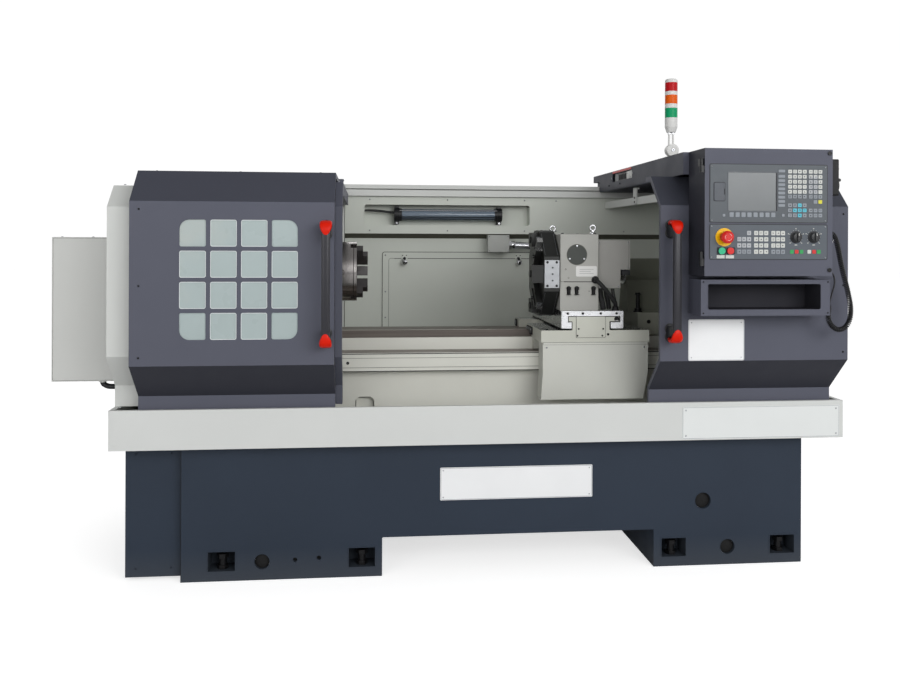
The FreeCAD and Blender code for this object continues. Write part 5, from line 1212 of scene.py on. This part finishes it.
# ------------------------------------------------------------ rear cabinet
bm = bmesh.new()
plate(bm, "y", 646, 868, 672, 992, 1039.9, 1043.0, 6, 1.0, 0)                                  # latch with a folding grip
plate(bm, "y", 651, 884, 667, 960, 1042.8, 1044.8, 5, 1.0, 1)
lathe(bm, (659, 1042.8, 976), (0, 1, 0), [(6.5, 0), (6.5, 1.6), (5.4, 2.0), (0, 2.0)], 24, 2)
plate(bm, "y", 658.4, 971, 659.6, 981, 1044.7, 1044.9, 0.3, 0.1, 3)
hoop(bm, "y", 36, 574, 690, 1266, 1.6, 1040.0, 1040.5, 8, 3, 5)
for k in range(12):                                                                            # pressed louvres
    for x0 in (120, 400):
        u0 = rrect(x0, 640 + k * 22, x0 + 200, 650 + k * 22, 4, 4)
        u1 = rrect(x0 + 3, 641 + k * 22, x0 + 197, 646 + k * 22, 2, 4)
        loft(bm, "y", [(u0, 1039.9), (u1, 1043.4)], 4)
        loft(bm, "y", [(rrect(x0 + 4, 650.2 + k * 22, x0 + 196, 653 + k * 22, 1, 3), 1039.9), (rrect(x0 + 4, 650.2 + k * 22, x0 + 196, 653 + k * 22, 1, 3), 1040.3)], 3)
plate(bm, "y", 280, 1120, 440, 1200, 1039.9, 1040.8, 4, 0.3, 5)                                 # bare data plate
hoop(bm, "y", 284, 1124, 436, 1196, 1.0, 1040.7, 1041.0, 3, 6, 4)
for k in range(5):
    u = [(294, 1180 - k * 11), (424 - 18 * (k % 3), 1180 - k * 11), (424 - 18 * (k % 3), 1182 - k * 11), (294, 1182 - k * 11)]
    loft(bm, "y", [(u, 1040.7), (u, 1041.0)], 6)
for x in (286, 434):
    for z in (1126, 1194):
        rivet(bm, (x, 1040.8, z), (0, 1, 0), 2.0, 2)
piece("cabinet_door_trim", bm, ["plastic", "silver", "chrome", "dark_gap", "cover", "plate_silver", "mark"], "rear_door")
bm = bmesh.new()
for x in (1100, 1500, 1900, 2260):
    for z in (500, 800, 1090):
        hex_bolt(bm, (x, 1003.0, z), (0, 1, 0), 6.0, 4.5, 0)
for x in (1100, 1500, 1900, 2260):
    hex_bolt(bm, (x, 963.0, 1200), (0, 1, 0), 5.0, 4.0, 0) if False else None
piece("rear_wall_bolts", bm, ["zinc"], "machine_frame")

# ------------------------------------------------------------ hoods, roof beam, signal tower
bm = bmesh.new()
for x in (112, 660):
    for z in (735, 950, 1180):
        button_screw(bm, (x, -96, z), (0, -1, 0), 3.2, 0, 1) if x < 200 else None
for x in (130, 388, 640):
    for y in (60, 420, 880):
        button_screw(bm, (x, y, 1305), (0, 0, 1), 3.6, 0, 1)
for x in (LHX + 30 + 15, LHX + 30 + 45, LHX + 516 + 15, LHX + 516 + 45):                       # screws of the shoes that slide on the front rail
    button_screw(bm, (x, 20.0, 551), (0, -1, 0), 3.6, 0, 1)
piece("left_hood_screws", bm, ["black_screw", "dark_gap"], "hood_left")
bm = bmesh.new()
for x in (1742.5 + 15, 1742.5 + 45, 2246 + 15, 2246 + 45):
    button_screw(bm, (x, 20.0, 551), (0, -1, 0), 3.6, 0, 1)
for x, z in ((2320, 735), (2320, 950), (2320, 1180)):
    button_screw(bm, (x, -96, z), (0, -1, 0), 3.2, 0, 1)
for x in (2250, 2320):
    for y in (60, 420, 880):
        button_screw(bm, (x, y, 1305), (0, 0, 1), 3.6, 0, 1)
for x in (1806, 2010, 2212):
    for y in (-70, 300, 640, 1010):
        button_screw(bm, (x, y, 1373), (0, 0, 1), 3.6, 0, 1)
# connectors in the cut-out of the roof beam and the red strip over it
plate(bm, "x", 545, 1326, 655, 1361, 1825, 1789.5, 3, 1.2, 2)
plate(bm, "x", 661, 1330, 712, 1362, 1822, 1790.5, 3, 1.2, 3)
plate(bm, "x", 466, 1327, 540, 1360, 1820, 1787.5, 4, 1.5, 4)
for yy in (560, 580, 600, 620, 640):
    plate(bm, "x", yy - 6, 1333, yy + 6, 1354, 1789.6, 1788.6, 1.5, 0.4, 1)
lathe(bm, (1787.5, 503, 1343), (-1, 0, 0), [(14, -0.5), (14, 1.2), (12, 2.2), (0, 2.2)], 28, 4, close=False)
for yy, zz in ((480, 1335), (527, 1352)):
    button_screw(bm, (1787.5, yy, zz), (-1, 0, 0), 2.4, 5, 1)
plate(bm, "x", 470, 1363.6, 726, 1371.5, 1785.1, 1783.9, 2.5, 0.4, 6)
for yy in (448, 740):
    button_screw(bm, (1785, yy, 1346), (-1, 0, 0), 4.0, 5, 1)
for yy in (620, 780):
    button_screw(bm, (1785, yy, 1318), (-1, 0, 0), 4.2, 1, 1)
# lining of the shelf and its front lip
hoop(bm, "y", 1824.5, 879.5, 2189.5, 961.5, 2.0, -202.9, -203.6, 7, 7, 5)
for x in (1812, 2211):
    for z in (870, 966):
        button_screw(bm, (x, -203, z), (0, -1, 0), 2.6, 0, 1)
piece("right_hood_fittings", bm, ["black_screw", "dark_gap", "plastic", "grey_metal", "white", "zinc", "label_red", "hood"], "hood_right")
bm = bmesh.new()
for z0, z1 in ((1515, 1549), (1563, 1594), (1606, 1637)):                                       # ribs of the lenses
    for k in range(36):
        a = 2 * math.pi * k / 36
        c, s_ = math.cos(a), math.sin(a)
    pass
for z in (1515.0, 1549.1, 1562.9, 1594.1, 1605.9, 1637.1):
    lathe(bm, (1832, 156, z), (0, 0, 1), [(21.6, -0.5), (21.75, 0), (21.6, 0.5)], 48, 0, close=False)
for dx in (-7, 7):
    lathe(bm, (1832 + dx, 156, 1418), (0, 0, 1), [(5.2, 0), (5.2, 4), (4.2, 5)], 20, 1)
    lathe(bm, (1832 + dx, 156, 1458), (0, 0, 1), [(4.2, 0), (5.0, 1), (5.0, 8)], 20, 1)
lathe(bm, (1832, 150.0, 1403), (0, -1, 0), [(1, 0), (1, 0.1)], 6, 1)
piece("signal_rings", bm, ["white", "silver"], "signal_tower")
bm = bmesh.new()
lathe(bm, (1832, 136, 1403), (0, -1, 0), [(21.0, -0.3), (21.0, 0.8), (19.4, 1.8), (9, 2.0), (8, 1.2), (0, 1.2)], 36, 0, close=False)
socket_screw(bm, (1832, 134.8, 1403), (0, -1, 0), 5.0, 3.0, 1, 2)
lathe(bm, (1832, 150, 1373.1), (0, 0, 1), [(30, -0.1), (30, 2.5), (28, 4), (22, 4.4)], 36, 0, close=False)
for k in range(3):
    a = math.radians(30 + 120 * k)
    button_screw(bm, (1832 + 26 * math.cos(a), 150 + 26 * math.sin(a), 1376.9), (0, 0, 1), 2.2, 1, 2)
piece("tower_foot_trim", bm, ["white", "zinc", "dark_gap"], "hood_right")

# ------------------------------------------------------------ hand unit and its holder
bm = bmesh.new()
for y in (-208, -142):
    for z in (1241, 1338):
        button_screw(bm, (2238, y, z), (1, 0, 0), 2.2, 1, 2)
for yy, zz in ((-163, 1318),):
    lathe(bm, (2238, yy, zz), (1, 0, 0), [(9.5, 0), (9.5, 8), (8.6, 10), (0, 10)], 8, 0)
    lathe(bm, (2238, yy, zz), (1, 0, 0), [(11.5, -0.2), (11.5, 0.4), (0, 0.4)], 28, 3, close=False)
for k in range(24):                                                                             # scale ring of the wheel
    a = 2 * math.pi * k / 24
    c, s_ = math.cos(a), math.sin(a)
    r0, r1, w = 28.2, 30.4 if k % 6 else 31.4, 0.4
    yc, zc = -175, 1266
    u = [(yc + r0 * c - w * s_, zc + r0 * s_ + w * c), (yc + r0 * c + w * s_, zc + r0 * s_ - w * c), (yc + r1 * c + w * s_, zc + r1 * s_ - w * c), (yc + r1 * c - w * s_, zc + r1 * s_ + w * c)]
    loft(bm, "x", [(u, 2237.9), (u, 2238.35)], 3)
lathe(bm, (2216, -175, 1122), (1, 0, 0), [(11.5, -6), (11.5, -1), (9.8, 0), (9.8, 6), (7.2, 8.5)], 24, 0)
lathe(bm, (2210.4, -175, 1007), (1, 0, 0), [(10, -0.3), (10, 2.2), (7.6, 3.4), (7.6, 5.0), (4.0, 6.2)], 6, 0)
tube_along(bm, smooth_line([(2214, -154, 1216), (2226, -154, 1214), (2234, -154, 1206), (2240, -154, 1214), (2247, -154, 1215)], 8), 2.6, 10, 4)
lathe(bm, (2210.2, -154, 1216), (1, 0, 0), [(8, 0), (8, 1.6), (6.6, 2.4), (2.5, 2.4)], 20, 4, close=False)
piece("hand_unit_trim", bm, ["plastic", "zinc", "dark_gap", "mark_w", "chrome"], "hood_right")
bm = bmesh.new()
n = 60
rings = []
for x, rr in ((2239.6, 25.5), (2240.4, 27), (2247.6, 27), (2249, 25.4), (2249.2, 20.5), (2248.2, 19.5)):
    rings.append([bm.verts.new((x, -175 + rr * (1 - 0.02 * (k % 2) * (rr > 26)) * math.cos(2 * math.pi * k / n),
                                1266 + rr * (1 - 0.02 * (k % 2) * (rr > 26)) * math.sin(2 * math.pi * k / n))) for k in range(n)])
for a, b in zip(rings, rings[1:]):
    for k in range(n):
        j = (k + 1) % n
        bm.faces.new((a[k], a[j], b[j], b[k]))
bm.faces.new(rings[0])
bm.faces.new(rings[-1])
lathe(bm, (2226, -175, 1266), (1, 0, 0), [(4, 0), (4, 14)], 16, 0)
lathe(bm, (2248.2, -175, 1284), (1, 0, 0), [(3.2, 0), (3.2, 3), (5.0, 5), (5.6, 9), (5.2, 15), (3.6, 17.6), (0, 18)], 20, 0)
lathe(bm, (2248.1, -175, 1266), (1, 0, 0), [(7, 0), (7, 0.9), (6, 1.3), (0, 1.3)], 24, 1, close=False)
o = piece("hand_wheel", bm, ["knob", "zinc"], "pulse_wheel", 40)
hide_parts("mpg_wheel")

# ------------------------------------------------------------ tailstock
bm = bmesh.new()
lathe(bm, (1746.4, 445, 976), (-1, 0, 0), [(49, -6), (48.6, 0.4), (47, 1.6), (36.5, 1.6), (35.3, 0.6)], 56, 0, close=False)
hex_bolt(bm, (1775, 345, 895), (0, 0, 1), 10, 7, 1)
lathe(bm, (1775, 345, 832), (0, 0, 1), [(17, 0), (17, 3), (15.5, 4), (13, 4)], 32, 1, close=False)
for x in (1800, 1960):
    for z in (800, 820):
        pass
    socket_screw(bm, (x, 296.0, 800), (0, -1, 0), 7.0, 2.0, 1, 2)
piece("tailstock_trim", bm, ["steel", "black_screw", "dark_gap"], "tailstock")
bm = bmesh.new()
for q in range(3):
    pass
lathe(bm, (2084.2, 445, 976), (1, 0, 0), [(10, -0.3), (10, 1.4), (8.5, 2.2), (0, 2.2)], 24, 0, close=False)
lathe(bm, (2077.5, 445, 1059), (1, 0, 0), [(9.2, 0), (10.2, 6), (11.2, 26), (10.6, 46), (8.4, 56), (4, 59), (0, 59.4)], 24, 1, close=False)
piece("tail_wheel_grip", bm, ["zinc", "plastic"], "tail_wheel")


# ------------------------------------------------------------ curly cord
CY = -175.0
COIL = [(2224, 1122), (2243, 1118), (2257, 1082), (2270, 1012), (2290, 942), (2305, 872), (2291, 823), (2257, 811), (2229, 836),
        (2226, 866), (2231, 895)]
TAIL = [(2231, 895), (2237, 922), (2249, 958), (2246, 985), (2232, 1002), (2215, 1007)]
route = smooth_line([P(x, CY, z) for x, z in COIL + TAIL[1:]], 40)
WIRE = 0.0047
RAD = 0.0085 - WIRE / 2
PITCH = 0.0057
arc = [0.0]
for a, b in zip(route, route[1:]):
    arc.append(arc[-1] + (b - a).length)


def on_route(s):
    s = max(0.0, min(arc[-1], s))
    i = max(0, min(len(arc) - 2, next((k for k in range(len(arc)) if arc[k] > s), len(arc)) - 1))
    t = (s - arc[i]) / max(1e-9, arc[i + 1] - arc[i])
    a = route[max(0, i - 1)]
    b = route[min(len(route) - 1, i + 2)]
    return route[i].lerp(route[i + 1], t), (b - a).normalized()


joint_s = min(range(len(route)), key=lambda k: (route[k] - P(2231, CY, 895)).length)
S0, S1 = 0.007, arc[joint_s]
path = []
s = 0.0
while s < S0:
    path.append(on_route(s)[0])
    s += 0.0035
turns = (S1 - S0) / PITCH
steps = int(turns * 14)
for k in range(steps + 1):
    s = S0 + (S1 - S0) * k / steps
    c, t = on_route(s)
    e1 = Vector((0, 1, 0))
    e2 = t.cross(e1).normalized()
    grow = min(1.0, (s - S0) / 0.009, (S1 - s) / 0.009)
    grow = max(0.0, grow) ** 0.7
    ph = 2 * math.pi * k / 14
    path.append(c + (e1 * math.cos(ph) + e2 * math.sin(ph)) * RAD * grow)
s = S1 + 0.004
while s < arc[-1]:
    path.append(on_route(s)[0])
    s += 0.004
path.append(route[-1])
clean = [path[0]]
for p in path[1:]:
    if (p - clean[-1]).length > 0.0004:
        clean.append(p)
path = clean
bm = bmesh.new()
tube_along(bm, path, WIRE / 2, 8, 0)
bmesh.ops.recalc_face_normals(bm, faces=bm.faces)
me = bpy.data.meshes.new("hand_unit_cord")
bm.to_mesh(me)
bm.free()
me.materials.append(M["cord"])
for p in me.polygons:
    p.use_smooth = True
cord = bpy.data.objects.new("hand_unit_cord", me)
bpy.context.scene.collection.objects.link(cord)
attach(cord, "hood_right")
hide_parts("cord_coil", "cord_lead")
cord_len = sum((b - a).length for a, b in zip(path, path[1:]))
print("cord length", round(cord_len, 4))
tuple(path[0])
[tuple(p) for p in path]


# ---------------------------------------------------- floor, light and camera
bm = bmesh.new()
vs = [bm.verts.new((x, y, 0)) for x, y in ((-30, -30), (30, -30), (30, 30), (-30, 30))]
bm.faces.new(vs)
me = bpy.data.meshes.new("floor")
bm.to_mesh(me)
bm.free()
floor_mat = material("floor_pale", lin(222, 222, 222), rough=0.9, var=0.004, vscale=0.5, rvar=0.0, spec=0.05, emit=(1, 1, 1, 1), emit_s=0.4)
fnt = floor_mat.node_tree
flp = fnt.nodes.new("ShaderNodeLightPath")
fmu = fnt.nodes.new("ShaderNodeMath")
fmu.operation = "MULTIPLY"
fmu.inputs[1].default_value = 0.66
fnt.links.new(flp.outputs["Is Camera Ray"], fmu.inputs[0])
fnt.links.new(fmu.outputs[0], next(n for n in fnt.nodes if n.type == "BSDF_PRINCIPLED").inputs["Emission Strength"])
me.materials.append(floor_mat)
floor = bpy.data.objects.new("floor", me)
bpy.context.scene.collection.objects.link(floor)

bpy.context.scene.view_settings.view_transform = "Standard"
world = bpy.data.worlds.new("studio")
bpy.context.scene.world = world
world.use_nodes = True
wn = world.node_tree
bg = wn.nodes.get("Background")
bg.inputs[0].default_value = (1.0, 1.0, 1.0, 1.0)
tcw = wn.nodes.new("ShaderNodeTexCoord")
sep = wn.nodes.new("ShaderNodeSeparateXYZ")
wn.links.new(tcw.outputs["Generated"], sep.inputs[0])


def ramp_range(sock, f0, f1, t0, t1):
    r = wn.nodes.new("ShaderNodeMapRange")
    r.interpolation_type = "SMOOTHSTEP"
    r.inputs["From Min"].default_value, r.inputs["From Max"].default_value = f0, f1
    r.inputs["To Min"].default_value, r.inputs["To Max"].default_value = t0, t1
    wn.links.new(sock, r.inputs["Value"])
    return r.outputs["Result"]


# softbox-like surround: dimmer overhead and from the left, white where the camera looks at it
by_height = ramp_range(sep.outputs["Z"], 0.28, 0.85, 1.0, 0.34)
by_side = ramp_range(sep.outputs["X"], -0.95, 0.35, 0.42, 1.08)
mul = wn.nodes.new("ShaderNodeMath")
mul.operation = "MULTIPLY"
wn.links.new(by_height, mul.inputs[0])
wn.links.new(by_side, mul.inputs[1])
lp = wn.nodes.new("ShaderNodeLightPath")
mixw = wn.nodes.new("ShaderNodeMix")
wn.links.new(lp.outputs["Is Camera Ray"], mixw.inputs[0])
wn.links.new(mul.outputs[0], mixw.inputs[2])
mixw.inputs[3].default_value = 1.02
wn.links.new(mixw.outputs[0], bg.inputs[1])


def area(name, loc, target, size, size_y, power, col=(1, 1, 1)):
    li = bpy.data.lights.new(name, "AREA")
    li.shape = "RECTANGLE"
    li.size, li.size_y = size, size_y
    li.energy = power
    li.color = col
    ob = bpy.data.objects.new(name, li)
    ob.location = loc
    ob.rotation_mode = "QUATERNION"
    ob.rotation_quaternion = (Vector(target) - Vector(loc)).to_track_quat("-Z", "Y")
    bpy.context.scene.collection.objects.link(ob)


area("key", (1.9, -4.8, 2.3), (0, -0.2, 0.8), 3.2, 1.8, 95)
area("fill", (-2.9, -4.4, 1.6), (0.2, -0.2, 0.8), 2.6, 1.8, 45)
area("back", (0.0, 4.5, 3.0), (0, 0, 0.9), 3.5, 2.0, 30)

cam_data = bpy.data.cameras.new("camera")
cam = bpy.data.objects.new("camera", cam_data)
cam_data.sensor_fit = "HORIZONTAL"
cam_data.sensor_width = 36.0
cam_data.lens = 36.0
cam_data.shift_x = -10.0 / 900.0
cam_data.shift_y = -97.1 / 900.0
cam_data.clip_end = 200.0
cam.location = P(788.3, -2861.0, 1090.0)
rot = Matrix.Rotation(math.radians(-5.912), 4, "Z") @ Matrix.Rotation(math.radians(90), 4, "X") @ Matrix.Rotation(math.radians(0.235), 4, "Z")
cam.rotation_mode = "QUATERNION"
cam.rotation_quaternion = rot.to_quaternion()
bpy.context.scene.collection.objects.link(cam)
bpy.context.scene.camera = cam
